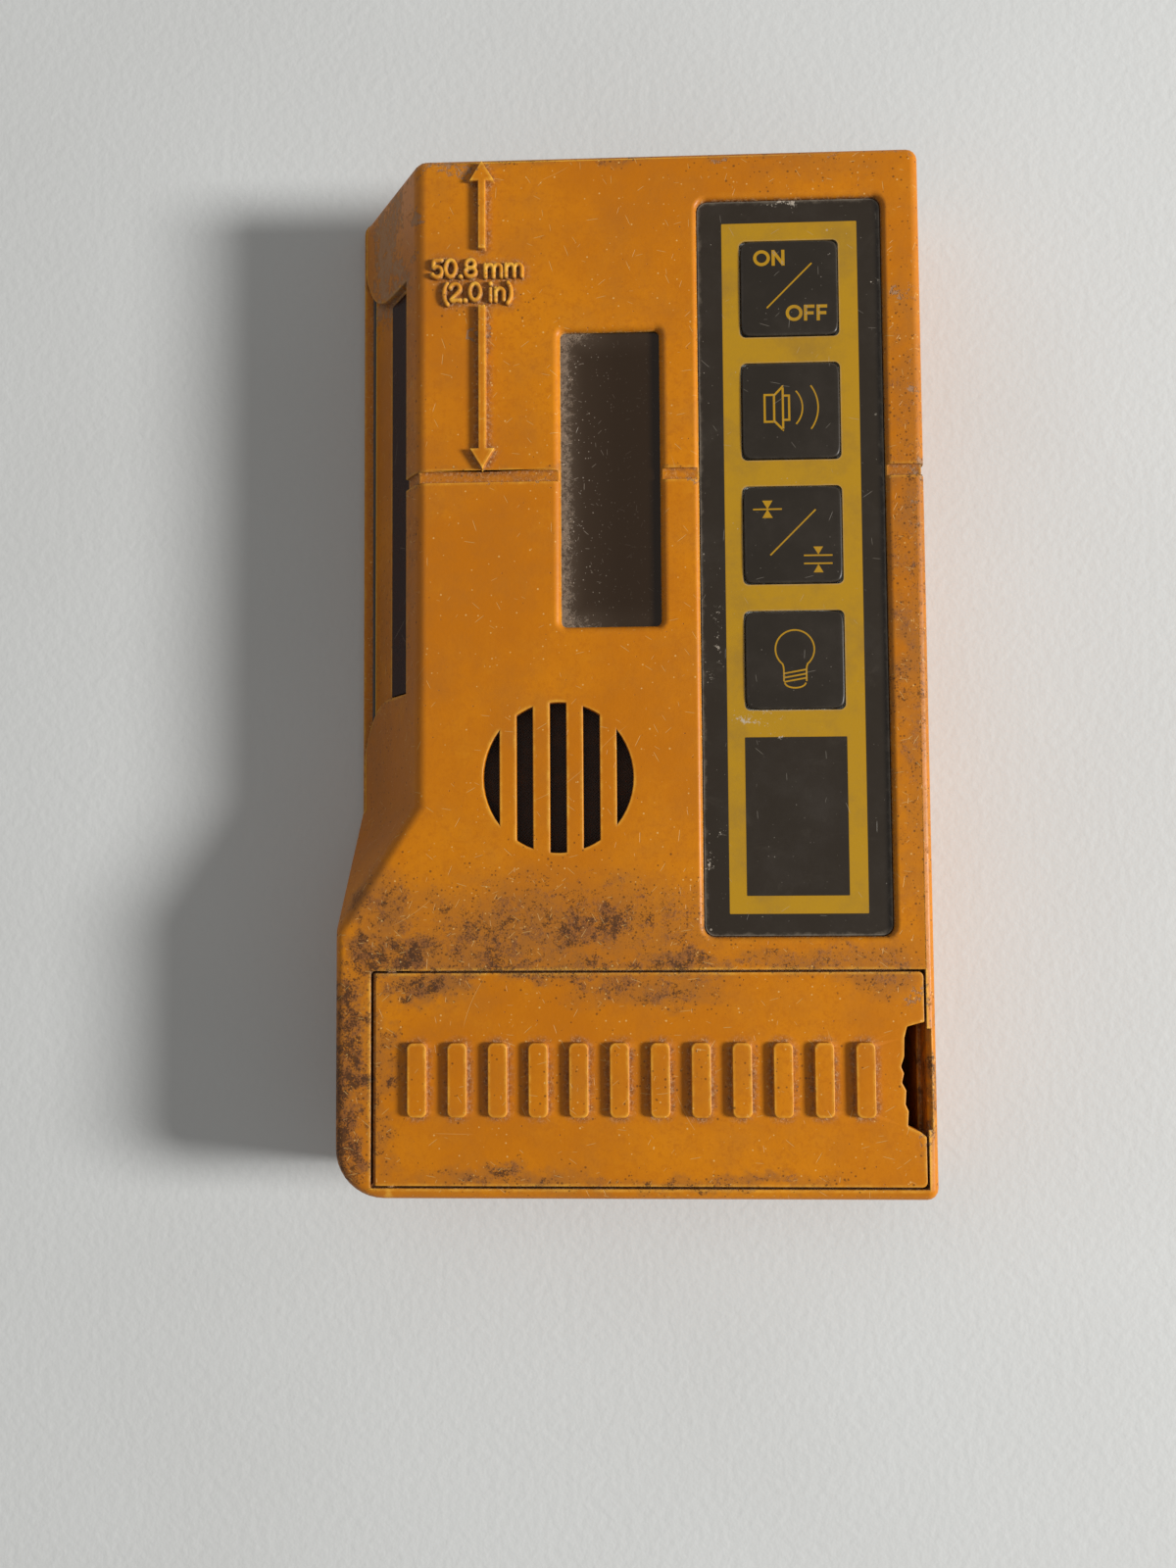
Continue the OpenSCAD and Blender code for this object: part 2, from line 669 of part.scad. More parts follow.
// Scoop in the slope, the seat of the beam window and the slot behind it
module beam_cut() {
    start = slope_l + past - scoop_r;
    back = -slope_l - 4 * past;
    upper = [for (i = [0:big_steps]) let (a = 90 * i / big_steps)
        [-start - scoop_r * sin(a), scoop_half + scoop_r * (1 - cos(a))]];
    end = [[back, scoop_half + scoop_r], [back, -scoop_half - scoop_r]];
    lower = [for (i = [big_steps:-1:0]) [upper[i].x, -upper[i].y]];
    on_slope() {
        translate([0, 0, -scoop_d])
            linear_extrude(height = scoop_d + 2 * past)
                polygon(concat([[-scoop_in, -scoop_half], [-scoop_in, scoop_half]], upper, end, lower));
        block([-beam_in - beam_w - fit, -beam_l / 2 - fit, seat_n],
            [-beam_in + fit, beam_l / 2 + fit, -scoop_d + weld]);
        block([-beam_in - beam_w + ledge, -beam_l / 2 + ledge, -slope_wall - past],
            [-beam_in - ledge, beam_l / 2 - ledge, seat_n + weld]);
        for (side = [-1, 1])
            translate([sensor_mid, side * sensor_screw_y, -slope_wall - past])
                cylinder(d = board_screw_d + 2 * bore_fit, h = past + sensor_screw_l + fit);
    }
}

// Seat of the door, the mouth of the battery tray, the pivot slot and the latch slot
module door_cut() {
    lo = [door_x0 - door_gap, door_y0 - door_gap];
    hi = [door_x1 + door_gap, door_y1 + door_gap];
    top = body_t + past;
    block([lo.x, lo.y, door_z0 - door_seat_gap], [hi.x, hi.y, top]);
    block([tray_x0, tray_y0, frame_z0 - past], [tray_x1, tray_y1, top]);
    block([lo.x, lo.y, frame_z0 - past], [pivot.x + pivot_swing, hi.y, top]);
    block([door_x1 - latch_d - latch_ledge, latch_y0, frame_z0 - past], [hi.x, latch_y1, top]);
    translate([hi.x, (latch_y0 + latch_y1) / 2, body_t])
        rotate([0, 45, 0]) cube([notch_w, latch_w - 2 * notch_in, notch_w], center = true);
    translate([pivot.x, lo.y - pivot_l, pivot.z]) rotate([-90, 0, 0])
        cylinder(d = pivot_d + 2 * bore_fit, h = hi.y - lo.y + 2 * pivot_l);
}

// Case moulding: front, sloped side, other side walls and the pillars inside
module front_shell() {
    color(orange) difference() {
        union() {
            difference() {
                case_solid();
                case_plug(cover_t - past, inner_z, wall, slope_plan);
                case_plug(cover_t - past, cover_t + seal_t, wall / 2, wall / 2);
            }
            translate([pad_c.x, pad_c.y, pad_floor_z - pad_floor_t])
                plate(pad_w + 2 * pad_floor_t, pad_h + 2 * pad_floor_t, pad_r,
                    inner_z + weld - pad_floor_z + pad_floor_t);
            intersection() {
                case_plug(frame_z0, inner_z + weld, wall / 2, wall / 2);
                block([left_x, foot_y, 0], [right_x, door_y1 + 2 * pivot_l, body_t]);
            }
            for (p = pillars) post(p, pillar_d, cover_t, p.z);
            block([left_x + wall / 2, foot_pillar.y - web_t / 2, cover_t + seal_t],
                [foot_pillar.x, foot_pillar.y + web_t / 2, foot_pillar.z]);
            for (p = posts) post(p, post_d, board_z, inner_z + weld);
            dimension_arrows();
        }
        translate([display_c.x, display_c.y, body_t])
            rim_cut(display_w, display_h, display_r, display_rim, front_wall + past);
        translate([display_c.x, display_c.y, inner_z - past])
            plate(display_w + 2 * (window_lap + fit), display_h + 2 * (window_lap + fit), display_r,
                window_z1 - inner_z + past);
        translate([pad_c.x, pad_c.y, body_t])
            rim_cut(pad_w, pad_h, pad_r, pad_rim, body_t - pad_floor_z);
        block([tail_c.x - tail_w / 2 - tail_room, tail_c.y - circuit_t / 2 - tail_room, board_z],
            [tail_c.x + tail_w / 2 + tail_room, tail_c.y + circuit_t / 2 + tail_room, body_t + past]);
        grade_cut();
        grille_cut();
        beam_cut();
        door_cut();
        for (p = pillars) post(p, screw_d + 2 * bore_fit, cover_t - past, cover_t + screw_l);
        for (p = posts)
            post(p, board_screw_d + 2 * bore_fit, board_z - past, board_under + board_screw_l + fit);
    }
}

// Flat back of the case, with a centring lip and the boss of the clamp thread
module rear_cover() {
    edge = quarter(back_r);
    levels = concat([for (i = [edge_steps - 1:-1:0]) [back_r - edge[i][0], edge[i][1]]],
        [[back_r, 0], [cover_t, 0]]);
    lip_in = wall + fit;
    slope_lip_in = slope_plan + fit;
    color(orange) difference() {
        union() {
            loft([for (v = levels) cover_ring(v[0], v[1])]);
            difference() {
                case_plug(cover_t - weld, cover_t + lip_h, lip_in, slope_lip_in);
                case_plug(cover_t - 2 * weld, cover_t + lip_h + past,
                    lip_in + lip_t, slope_lip_in + lip_t);
                for (p = pillars) post(p, pillar_d + 4 * fit, 0, body_t);
                block([left_x, foot_pillar.y - web_t / 2 - fit, 0],
                    [foot_pillar.x, foot_pillar.y + web_t / 2 + fit, body_t]);
            }
            post([0, 0], insert_d + 2 * boss_wall, cover_t - weld, insert_l + boss_cap);
        }
        post([0, 0], insert_d + 2 * bore_fit, -past, insert_l);
        for (p = pillars) {
            post(p, screw_d + 2 * head_room, -past, body_t);
            post(p, cover_head_d + 2 * head_room, -past, head_h);
        }
        translate([0, rating_y, -past])
            plate(rating_w + 2 * fit, rating_h + 2 * fit, corner_r, rating_t + head_sink + past);
    }
}

// Rubber seal between the cover and the rim of the case
module cover_seal() {
    color([0.1, 0.1, 0.1]) difference() {
        case_plug(cover_t, cover_t + seal_t, wall / 2 + fit, wall / 2 + fit);
        case_plug(cover_t - past, cover_t + seal_t + past, wall, wall);
        for (p = pillars) post(p, pillar_d + fit, 0, body_t);
    }
}

// Screws that hold the cover to the pillars
module cover_screws() {
    color(steel) for (p = pillars) difference() {
        union() {
            post(p, cover_head_d, head_sink, head_h);
            post(p, screw_d, head_h - weld, cover_t + screw_l - fit);
        }
        translate([p.x, p.y, head_sink]) cross_recess();
    }
}

// Brass insert whose thread takes the rod clamp
module clamp_insert() {
    color(brass) difference() {
        post([0, 0], insert_d, 0, insert_l);
        post([0, 0], insert_bore, -past, insert_l + past);
    }
}

// Bare metal plate let into the back
module rating_plate() {
    color(steel) translate([0, rating_y, head_sink]) plate(rating_w, rating_h, corner_r, rating_t);
}

// Clear window bonded behind the display opening
module display_window() {
    color(smoke) translate([display_c.x, display_c.y, window_z0])
        plate(display_w + 2 * window_lap, display_h + 2 * window_lap, display_r, window_t);
}

// Frame that holds the glass on the board
module display_frame() {
    half = [lcd_w / 2 + fit, lcd_h / 2 + fit, 0];
    rim = [frame_wall, frame_wall, 0];
    sight = [display_w / 2, display_h / 2, 0];
    z1 = window_z0 - lens_gap;
    color(ink) translate([display_c.x, display_c.y, 0]) difference() {
        block([0, 0, board_z] - half - rim, [0, 0, z1] + half + rim);
        block([0, 0, board_z - past] - half, [0, 0, z1 - frame_lip] + half);
        block([0, 0, board_z] - sight, [0, 0, z1 + past] + sight);
    }
}

// Liquid crystal glass
module display_glass() {
    color([0.45, 0.48, 0.42]) block([display_c.x - lcd_w / 2, display_c.y - lcd_h / 2, lcd_z0],
        [display_c.x + lcd_w / 2, display_c.y + lcd_h / 2, lcd_z1]);
}

// Light guide behind the glass
module display_backlight() {
    half = lcd_w / 2 - zebra_w - fit;
    color("white") block([display_c.x - half, display_c.y - lcd_h / 2, board_z],
        [display_c.x + half, display_c.y + lcd_h / 2, lcd_z0 - fit]);
}

// Rubber contact strips between the glass and the board
module zebra_strips() {
    color([0.55, 0.2, 0.25]) for (side = [-1, 1]) {
        x = display_c.x + side * (lcd_w - zebra_w) / 2;
        block([x - zebra_w / 2, display_c.y - lcd_h / 2, board_z],
            [x + zebra_w / 2, display_c.y + lcd_h / 2, lcd_z0]);
    }
}

// Sheet of the keypad stack, cut to the recess
module pad_sheet(z, t) {
    translate([pad_c.x, pad_c.y, z]) plate(pad_w - 2 * fit, pad_h - 2 * fit, pad_r, t);
}

// Cutters for a square window of the sheet at each key
module key_windows(side, z, t) {
    for (y = key_ys) translate([pad_c.x, y, z - past]) plate(side, side, key_r, t + 2 * past);
}

// Printed circuit sheet on the floor of the recess, with its tail
module keypad_circuit() {
    color([0.75, 0.75, 0.7]) union() {
        pad_sheet(pad_floor_z, circuit_t);
        block([tail_c.x - tail_w / 2, tail_c.y - circuit_t / 2, tail_z],
            [tail_c.x + tail_w / 2, tail_c.y + circuit_t / 2, pad_floor_z + weld]);
    }
}

// Spacer sheet with a window round each key flange
module keypad_spacer() {
    color("white") difference() {
        pad_sheet(spacer_z0, spacer_t);
        key_windows(key_foot + 2 * key_gap, spacer_z0, spacer_t);
    }
}

// Printed face sheet with a window round each key
module keypad_overlay() {
    color(mustard) difference() {
        pad_sheet(overlay_z0, overlay_t);
        key_windows(key_size, overlay_z0, overlay_t);
    }
}

// Metal domes that give the keys their click
module snap_domes() {
    sink = dome_r - dome_h;
    under_r = dome_r - dome_t;
    under_edge = sqrt(under_r * under_r - sink * sink);
    over = [for (i = [small_steps:-1:0]) let (r = dome_d / 2 * i / small_steps)
        [r, sqrt(dome_r * dome_r - r * r) - sink]];
    under = [for (i = [0:small_steps]) let (r = under_edge * i / small_steps)
        [r, sqrt(under_r * under_r - r * r) - sink]];
    color(steel) for (y = key_ys) translate([pad_c.x, y, spacer_z0])
        rotate_extrude() polygon(concat(over, under));
}

// One key: a cap in the face sheet's window and a flange behind it
module key(i) {
    color(ink) translate([pad_c.x, key_ys[i], key_z0]) union() {
        plate(key_foot, key_foot, key_r, flange_t);
        plate(key_cap, key_cap, key_r - key_gap, overlay_z1 + key_rise - key_z0);
    }
}

// Key that switches the receiver on and off
module key_power() {
    key(0);
}

// Key that sets how loud the sounder is
module key_sound() {
    key(1);
}

// Key that sets how fine the grade is read
module key_precision() {
    key(2);
}

// Key that lights the display
module key_lamp() {
    key(3);
}

// Dust cloth behind the grille
module grille_cloth() {
    color(ink) post(grille_c, grille_d + 2 * cloth_lap, inner_z - cloth_t, inner_z);
}

// Cup of the sounder on the board
module buzzer_case() {
    bore = buzzer_d - 2 * buzzer_wall;
    color(ink) difference() {
        post(grille_c, buzzer_d, board_z, buzzer_z1);
        post(grille_c, bore, disc_z, buzzer_z1 + past);
        post(grille_c, bore - 2 * buzzer_wall, board_z + buzzer_floor, disc_z + past);
    }
}

// Brass sounder disc on the step of its cup
module buzzer_disc() {
    color(brass) post(grille_c, buzzer_d - 2 * buzzer_wall - 2 * fit, disc_z, disc_z + disc_t);
}

// Main circuit board
module main_board() {
    color(board_green) difference() {
        block([board_lo.x, board_lo.y, board_z - board_t], [board_hi.x, board_hi.y, board_z]);
        for (p = posts) post(p, board_screw_d + 2 * head_room, board_z - board_t - past, board_z + past);
    }
}

// Chips, crystal and capacitors on the back of the board
module board_chips() {
    color(ink) translate([board_hi.x, board_hi.y, board_under]) {
        for (c = chips) block([c[0], c[1], -c[4]], [c[0] + c[2], c[1] + c[3], 0]);
        for (i = [0:2]) post(capacitor_at + [i * capacitor_pitch, 0], capacitor[0], -capacitor[1], 0);
        for (i = [0:5]) translate([resistor_at.x + i * resistor_pitch, resistor_at.y, -resistor.z])
            cube(resistor);
    }
}

// Socket for the keypad tail
module tail_connector() {
    color("white") translate([tail_c.x, tail_c.y, board_z]) difference() {
        block([-tail_w / 2 - connector_lap, -connector_t / 2, 0],
            [tail_w / 2 + connector_lap, connector_t / 2, connector_h]);
        block([-tail_w / 2 - tail_room, -circuit_t / 2 - fit, connector_h - connector_slot],
            [tail_w / 2 + tail_room, circuit_t / 2 + fit, connector_h + past]);
    }
}

// Screws that hold the board to its posts
module board_screws() {
    color(steel) for (p = posts) difference() {
        union() {
            post(p, board_head_d, board_under - head_h, board_under);
            post(p, board_screw_d, board_under - weld, board_under + board_screw_l);
        }
        translate([p.x, p.y, board_under - head_h]) cross_recess();
    }
}

// Dark filter window let into the floor of the scoop
module beam_window() {
    color([0.1, 0.03, 0.03]) on_slope()
        block([-beam_in - beam_w, -beam_l / 2, seat_n], [-beam_in, beam_l / 2, -scoop_d]);
}

// Two light sensors that meet at the grade line
module light_sensors() {
    half_l = beam_l / 2 - ledge - fit;
    half_w = beam_w / 2 - ledge - fit;
    color([0.15, 0.15, 0.25]) on_slope() for (side = [0, 1]) mirror([0, side, 0])
        block([sensor_mid - half_w, diode_gap / 2, -slope_wall],
            [sensor_mid + half_w, half_l, diode_t - slope_wall]);
}

// Board of the light sensors, flat against the inside of the sloped wall
module sensor_board() {
    under = -slope_wall - sensor_board_t;
    color(board_green) on_slope() difference() {
        block([sensor_mid - sensor_board_w / 2, -sensor_board_l / 2, under],
            [sensor_mid + sensor_board_w / 2, sensor_board_l / 2, -slope_wall]);
        for (side = [-1, 1]) translate([sensor_mid, side * sensor_screw_y, under - past])
            cylinder(d = board_screw_d + 2 * bore_fit, h = sensor_board_t + 2 * past);
    }
}

// Screws that hold the sensor board
module sensor_screws() {
    under = -slope_wall - sensor_board_t;
    color(steel) on_slope() for (side = [-1, 1]) translate([sensor_mid, side * sensor_screw_y, under])
        difference() {
            union() {
                post([0, 0], board_head_d, -head_h, 0);
                post([0, 0], board_screw_d, -weld, sensor_board_t + sensor_screw_l);
            }
            translate([0, 0, -head_h]) cross_recess();
        }
}

// Flat cable from the sensor board to the underside of the main board
module sensor_ribbon() {
    away = [cos(slope_deg), -sin(slope_deg)];
    side = [sin(slope_deg), cos(slope_deg)];
    start = [slope_x, body_t] - ribbon_drop * side + (slope_wall + sensor_board_t) * away;
    low = board_under - ribbon_t;
    line = [start, start + ribbon_lead * away, [board_lo.x - ribbon_bend.x, low - ribbon_bend.y],
        [board_lo.x + ribbon_bend.y, low], [board_lo.x + ribbon_lap, low]];
    thick = ribbon_t * [side, side, [0.5, 1], [0, 1], [0, 1]];
    upper = line + thick;
    color([0.8, 0.6, 0.2]) translate([0, grade_y + ribbon_y, 0]) rotate([90, 0, 0])
        linear_extrude(height = ribbon_w)
            polygon(concat(line, [for (i = [len(line) - 1:-1:0]) upper[i]]));
}

// Open tray under the mouth of the battery bay
module battery_tray() {
    color(ink) difference() {
        block([tray_x0 - tray_wall, tray_y0 - tray_wall, tray_z0],
            [tray_x1 + tray_wall, tray_top, frame_z0]);
        block([tray_x0, tray_y0, tray_z0 + tray_floor], [tray_x1, tray_y1, frame_z0 + past]);
        for (y = cell_ys) block([tray_x0 - 2 * tray_wall, y - tab_w / 2 - fit, tab_z - plate_t / 2 - fit],
            [tray_x0 + past, y + tab_w / 2 + fit, tab_z + plate_t / 2 + fit]);
    }
}

// One cell along X, with its button at the far end
module cell() {
    rotate([0, 90, 0]) union() {
        cylinder(d = cell_d, h = cell_l - cell_nub_l);
        cylinder(d = cell_nub_d, h = cell_l);
    }
}

// Two cells that lie side by side, head to tail
module battery_cells() {
    color([0.25, 0.25, 0.28]) {
        translate([spring_x0 + spring_l, cell_ys[0], cell_z]) cell();
        translate([spring_x0 + fit + cell_l, cell_ys[1], cell_z]) rotate([0, 0, 180]) cell();
    }
}

// Contact plates: one at the left of each cell, and one bridge at the right
module contact_plates() {
    z0 = cell_z - plate_w / 2;
    color(steel) {
        for (y = cell_ys) union() {
            block([tray_x0, y - plate_w / 2, z0], [tray_x0 + plate_t, y + plate_w / 2, z0 + plate_w]);
            block([lead_start_x, y - tab_w / 2, tab_z - plate_t / 2],
                [tray_x0 + plate_t / 2, y + tab_w / 2, tab_z + plate_t / 2]);
        }
        block([tray_x1 - plate_t, cell_ys[0] - plate_w / 2, z0],
            [tray_x1, cell_ys[1] + plate_w / 2, z0 + plate_w]);
    }
}

// Points of a coil that narrows along X, from its plate to the end of its cell
function coil(l) =
    let (n = coil_steps * spring_turns)
    [for (i = [0:n])
        let (a = 360 * spring_turns * i / n, r = spring_wide + (spring_narrow - spring_wide) * i / n)
        [spring_wire / 2 + (l - spring_wire) * i / n, r * cos(a), r * sin(a)]];

// Least gap between one turn of the coil and the next
function coil_gap(points) =
    let (n = len(points) - 1, near = 2)
    min([for (i = [0:n - coil_steps], j = [i + coil_steps - near:min(i + coil_steps + near, n)])
        norm(points[i] - points[j])]) - spring_wire;

// Springs at the flat end of each cell
module contact_springs() {
    points = coil(spring_l - fit);
    echo(least_gap_of_contact_spring = coil_gap(points));
    color(steel) {
        translate([spring_x0 + fit / 2, cell_ys[0], cell_z]) tube(points, spring_wire, wire_sides);
        translate([tray_x1 - plate_t - fit / 2, cell_ys[1], cell_z]) rotate([0, 0, 180])
            tube(points, spring_wire, wire_sides);
    }
}

// Leads from the contacts to the board
module battery_leads() {
    color([0.6, 0.05, 0.05]) tube(red_route, lead_d, lead_sides);
    color(ink) tube(black_route, lead_d, lead_sides);
}

// Outline of the door, with the ragged gap that the broken latch has left
function door_outline() =
    let (right = [[-1, 0], -door_x1],
        top = [[0, -1], -door_y1],
        foot = [[0, 1], door_y0])
    concat([[door_x0, door_y1], [door_x0, door_y0]],
        corner(foot, right, door_r, small_steps), [[door_x1, latch_y0]],
        [for (p = break_points) [door_x1 - p[1] * latch_d, latch_y0 + p[0] * latch_w]],
        [[door_x1, latch_y1]], corner(right, top, door_r, small_steps));

// Battery door with its pivot pins and grip bars
module battery_door() {
    bar_y = (latch_y0 + latch_y1) / 2;
    color(orange) union() {
        difference() {
            translate([0, 0, door_z0]) linear_extrude(height = door_t) polygon(door_outline());
            translate([door_x0, pivot.y, body_t]) rotate([0, 45, 0])
                cube([door_chamfer * sqrt(2), door_h + 2 * past, door_chamfer * sqrt(2)], center = true);
        }
        for (i = [0:bar_count - 1])
            translate([door_x0 + bar_in + i * bar_pitch + bar_w / 2, bar_y, body_t - weld])
                plate(bar_w, bar_h, bar_r, relief + weld);
        for (side = [-1, 1])
            translate([pivot.x, pivot.y + side * (door_h + pivot_l - door_t) / 2, pivot.z])
                rotate([90, 0, 0]) cylinder(d = pivot_d, h = pivot_l + door_t, center = true);
    }
}

// Foam pad under the door that steadies the cells
module door_pad() {
    color([0.2, 0.2, 0.2]) block([tray_x0 + foam_in, tray_y0 + foam_in, door_z0 - foam_t],
        [tray_x1 - foam_in, tray_y1 - foam_in, door_z0]);
}

front_shell();
rear_cover();
cover_seal();
cover_screws();
clamp_insert();
rating_plate();
display_window();
display_frame();
display_glass();
display_backlight();
zebra_strips();
keypad_circuit();
keypad_spacer();
keypad_overlay();
snap_domes();
key_power();
key_sound();
key_precision();
key_lamp();
grille_cloth();
buzzer_case();
buzzer_disc();
main_board();
board_chips();
tail_connector();
board_screws();
beam_window();
light_sensors();
sensor_board();
sensor_screws();
sensor_ribbon();
battery_tray();
battery_cells();
contact_plates();
contact_springs();
battery_leads();
battery_door();
door_pad();
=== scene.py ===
import math

import bpy
import numpy as np
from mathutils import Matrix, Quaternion, Vector


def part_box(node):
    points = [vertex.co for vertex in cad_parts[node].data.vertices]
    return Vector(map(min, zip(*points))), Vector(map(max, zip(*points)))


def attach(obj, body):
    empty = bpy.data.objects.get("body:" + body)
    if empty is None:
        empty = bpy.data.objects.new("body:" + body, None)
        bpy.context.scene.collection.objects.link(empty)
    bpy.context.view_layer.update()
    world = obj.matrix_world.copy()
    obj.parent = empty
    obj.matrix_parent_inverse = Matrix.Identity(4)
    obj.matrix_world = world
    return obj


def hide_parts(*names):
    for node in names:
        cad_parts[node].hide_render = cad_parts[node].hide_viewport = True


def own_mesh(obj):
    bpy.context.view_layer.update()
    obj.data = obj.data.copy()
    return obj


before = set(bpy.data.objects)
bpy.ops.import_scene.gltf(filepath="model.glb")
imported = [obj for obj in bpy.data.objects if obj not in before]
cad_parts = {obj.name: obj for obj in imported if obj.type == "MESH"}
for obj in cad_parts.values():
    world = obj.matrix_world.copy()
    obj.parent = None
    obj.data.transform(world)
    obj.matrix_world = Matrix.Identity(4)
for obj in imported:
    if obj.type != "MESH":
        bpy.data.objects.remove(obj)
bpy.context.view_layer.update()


# Front shell: the upper half of the case, one moulding of orange plastic with a sloped side for the beam.
# Years of site work have scuffed it, rubbed its edges pale and packed brown grime into its lower end. The
# pale edges are partly a painted highlight, and the grime down the left edge of the foot and in creases is
# partly painted shade.
MM = 0.001
MARK_RISE = 1.0 * MM
RIM_CLEAR = 1.0 * MM
SHELL_EASE = 0.15 * MM
SHELL_FILM = 0.3
ORANGE = (0.54, 0.176, 0.001, 1)
ORANGE_DEEP = (0.45, 0.135, 0.001, 1)
ORANGE_PALE = (0.58, 0.225, 0.006, 1)
BROWN_FILM = (0.3, 0.108, 0.016, 1)
# Grime colours, also used as painted shade down the left edge of the foot and in creases
GRIME_AND_SHADE = (0.135, 0.052, 0.023, 1)
GRIME_CORE_AND_SHADE = (0.03, 0.012, 0.005, 1)
DUST = (0.36, 0.245, 0.145, 1)
# Pale of rubbed edges, made paler and yellower as a painted highlight on the rounded edges
RUBBED_AND_HIGHLIT = (0.78, 0.42, 0.05, 1)
HAIRLINE = (0.68, 0.42, 0.14, 1)
SCRAPED = (0.3, 0.19, 0.115, 1)
# Grime patches on the front: x, y, half width, half height in millimetres, and strength. The patches down
# the left edge of the foot are partly painted shade on the rounded edge that turns away from the light.
FRONT_GRIME_AND_SHADE = [
    (-34, -43.5, 7, 4, 1.0), (-40.5, -44, 5, 6, 0.92), (-32, -48.8, 9, 3, 0.92), (-43.5, -52, 4, 8, 1.0),
    (-43.5, -71, 4, 11, 1.0), (-43.5, -61, 3.4, 10, 0.96), (-38, -36.5, 8, 7, 0.7),
    (-6, -39.6, 14, 6, 0.86), (-22, -42.5, 14, 6, 0.78), (-3, -49, 11, 4, 0.74), (7, -48.8, 10, 3.6, 0.72),
    (6, -44.8, 9, 2.6, 0.88), (-10, -46, 48, 2.2, 0.78), (26, -45, 18, 3, 0.7), (38, -46, 9, 5, 0.64),
    (-8, -39, 38, 10, 0.68), (-38.2, -62, 3, 22, 0.66), (-20, -77.4, 16, 2.4, 0.7),
    (11, -78, 28, 2, 0.68), (0, -62.5, 36, 6, 0.3), (44.2, -62, 1.8, 14, 0.76),
    (-35.2, 30, 2.8, 52, 0.5), (-42, 0, 5, 36, 0.52), (0, 80.4, 44, 1.6, 0.56), (0, 30.3, 45, 1, 0.5),
    (30, 78, 18, 4, 0.4), (43, 10, 5, 70, 0.6), (-24, 59, 11, 4.5, 0.42), (-45, -64, 2.4, 20, 1.0),
    (-42.2, -59, 2.6, 16, 0.96)]
# Scraped patches, in the same form: the top left corner, the rims and a few knocks
FRONT_SCRAPES = [
    (-40, 70, 8, 16, 1.0), (-30, 79.4, 9, 2.4, 0.7), (14.7, 79.6, 2, 1.2, 0.9),
    (42.6, 58.1, 1.2, 1.8, 0.8), (44, 29.7, 1.8, 1.8, 0.9), (-22.9, 52, 0.8, 1.6, 0.95),
    (42, -49.4, 2.4, 2.6, 0.66), (43, -72, 1.6, 6, 0.6), (0, 28.6, 45, 0.8, 0.5), (44.6, 30, 1.2, 50, 0.5),
    (36, 79.8, 10, 1.4, 0.5), (41, 35, 3, 3, 0.4)]


def place(tree, kind, inputs={}, **options):
    """Adds a node, by default a shader's, sets its options and fills its inputs with values or links."""
    node = tree.nodes.new(kind if "Node" in kind else "ShaderNode" + kind)
    for name, value in options.items():
        setattr(node, name, value)
    for key, value in inputs.items():
        if isinstance(value, bpy.types.NodeSocket):
            tree.links.new(value, node.inputs[key])
        else:
            node.inputs[key].default_value = value
    return node


def calc(tree, operation, *values, clamp=False):
    """Result of one Math node."""
    return place(tree, "Math", dict(enumerate(values)), operation=operation, use_clamp=clamp).outputs[0]


def product(tree, first, second):
    """One value times another."""
    return calc(tree, "MULTIPLY", first, second)


def scaled(tree, value, share, base, clamp=False):
    """A value times a share, on top of a base."""
    return calc(tree, "MULTIPLY_ADD", value, share, base, clamp=clamp)


def summed(tree, base, *shares):
    """A base with several values on top, each times its share."""
    for value, share in shares:
        base = scaled(tree, value, share, base)
    return base


def vector_calc(tree, operation, *values):
    """Result of one Vector Math node."""
    return place(tree, "VectorMath", dict(enumerate(values)), operation=operation).outputs[0]


def stretched(tree, vector, factor):
    """A vector times a factor."""
    return place(tree, "VectorMath", {0: vector, "Scale": factor}, operation="SCALE").outputs[0]


def split(tree, point):
    """Coordinates of a point."""
    return place(tree, "SeparateXYZ", {0: point}).outputs


def ramp(tree, value, low, high, start=0.0, end=1.0):
    """Smooth rise from start to end as a value goes from low to high."""
    return place(tree, "MapRange", {0: value, 1: low, 2: high, 3: start, 4: end},
                 interpolation_type="SMOOTHSTEP").outputs[0]


def tint(tree, share, under, over):
    """Colour that goes from one to another by a share."""
    return place(tree, "Mix", {0: share, 6: under, 7: over}, data_type="RGBA").outputs[2]


def layered(tree, colour, *coats):
    """A colour with coats over it, each laid on by its mask times its strength."""
    for mask, strength, coat in coats:
        colour = tint(tree, product(tree, mask, strength), colour, coat)
    return colour


def noise(tree, vector, size, detail=3.0, rough=0.55, twist=0.0):
    """Fractal noise whose largest lumps are about one size across."""
    return place(tree, "TexNoise", {"Vector": vector, "Scale": 1 / size, "Detail": detail,
                                    "Roughness": rough, "Distortion": twist}).outputs[0]


def new_group(name, outputs, **inputs):
    """New shader node group with outputs of given kinds and inputs of given values, vectors or numbers.
    Gives its tree, the sockets of its inputs and those of its outputs."""
    tree = bpy.data.node_groups.new(name, "ShaderNodeTree")
    for label, value in inputs.items():
        kind = "NodeSocketVector" if isinstance(value, tuple) else "NodeSocketFloat"
        tree.interface.new_socket(label, in_out="INPUT", socket_type=kind).default_value = value
    for label, kind in outputs.items():
        tree.interface.new_socket(label, in_out="OUTPUT", socket_type="NodeSocket" + kind)
    return tree, tree.nodes.new("NodeGroupInput").outputs, tree.nodes.new("NodeGroupOutput").inputs


def use(tree, group, **inputs):
    """Places a node group with its own values; gives its first output."""
    return place(tree, "Group", inputs, node_tree=group).outputs[0]


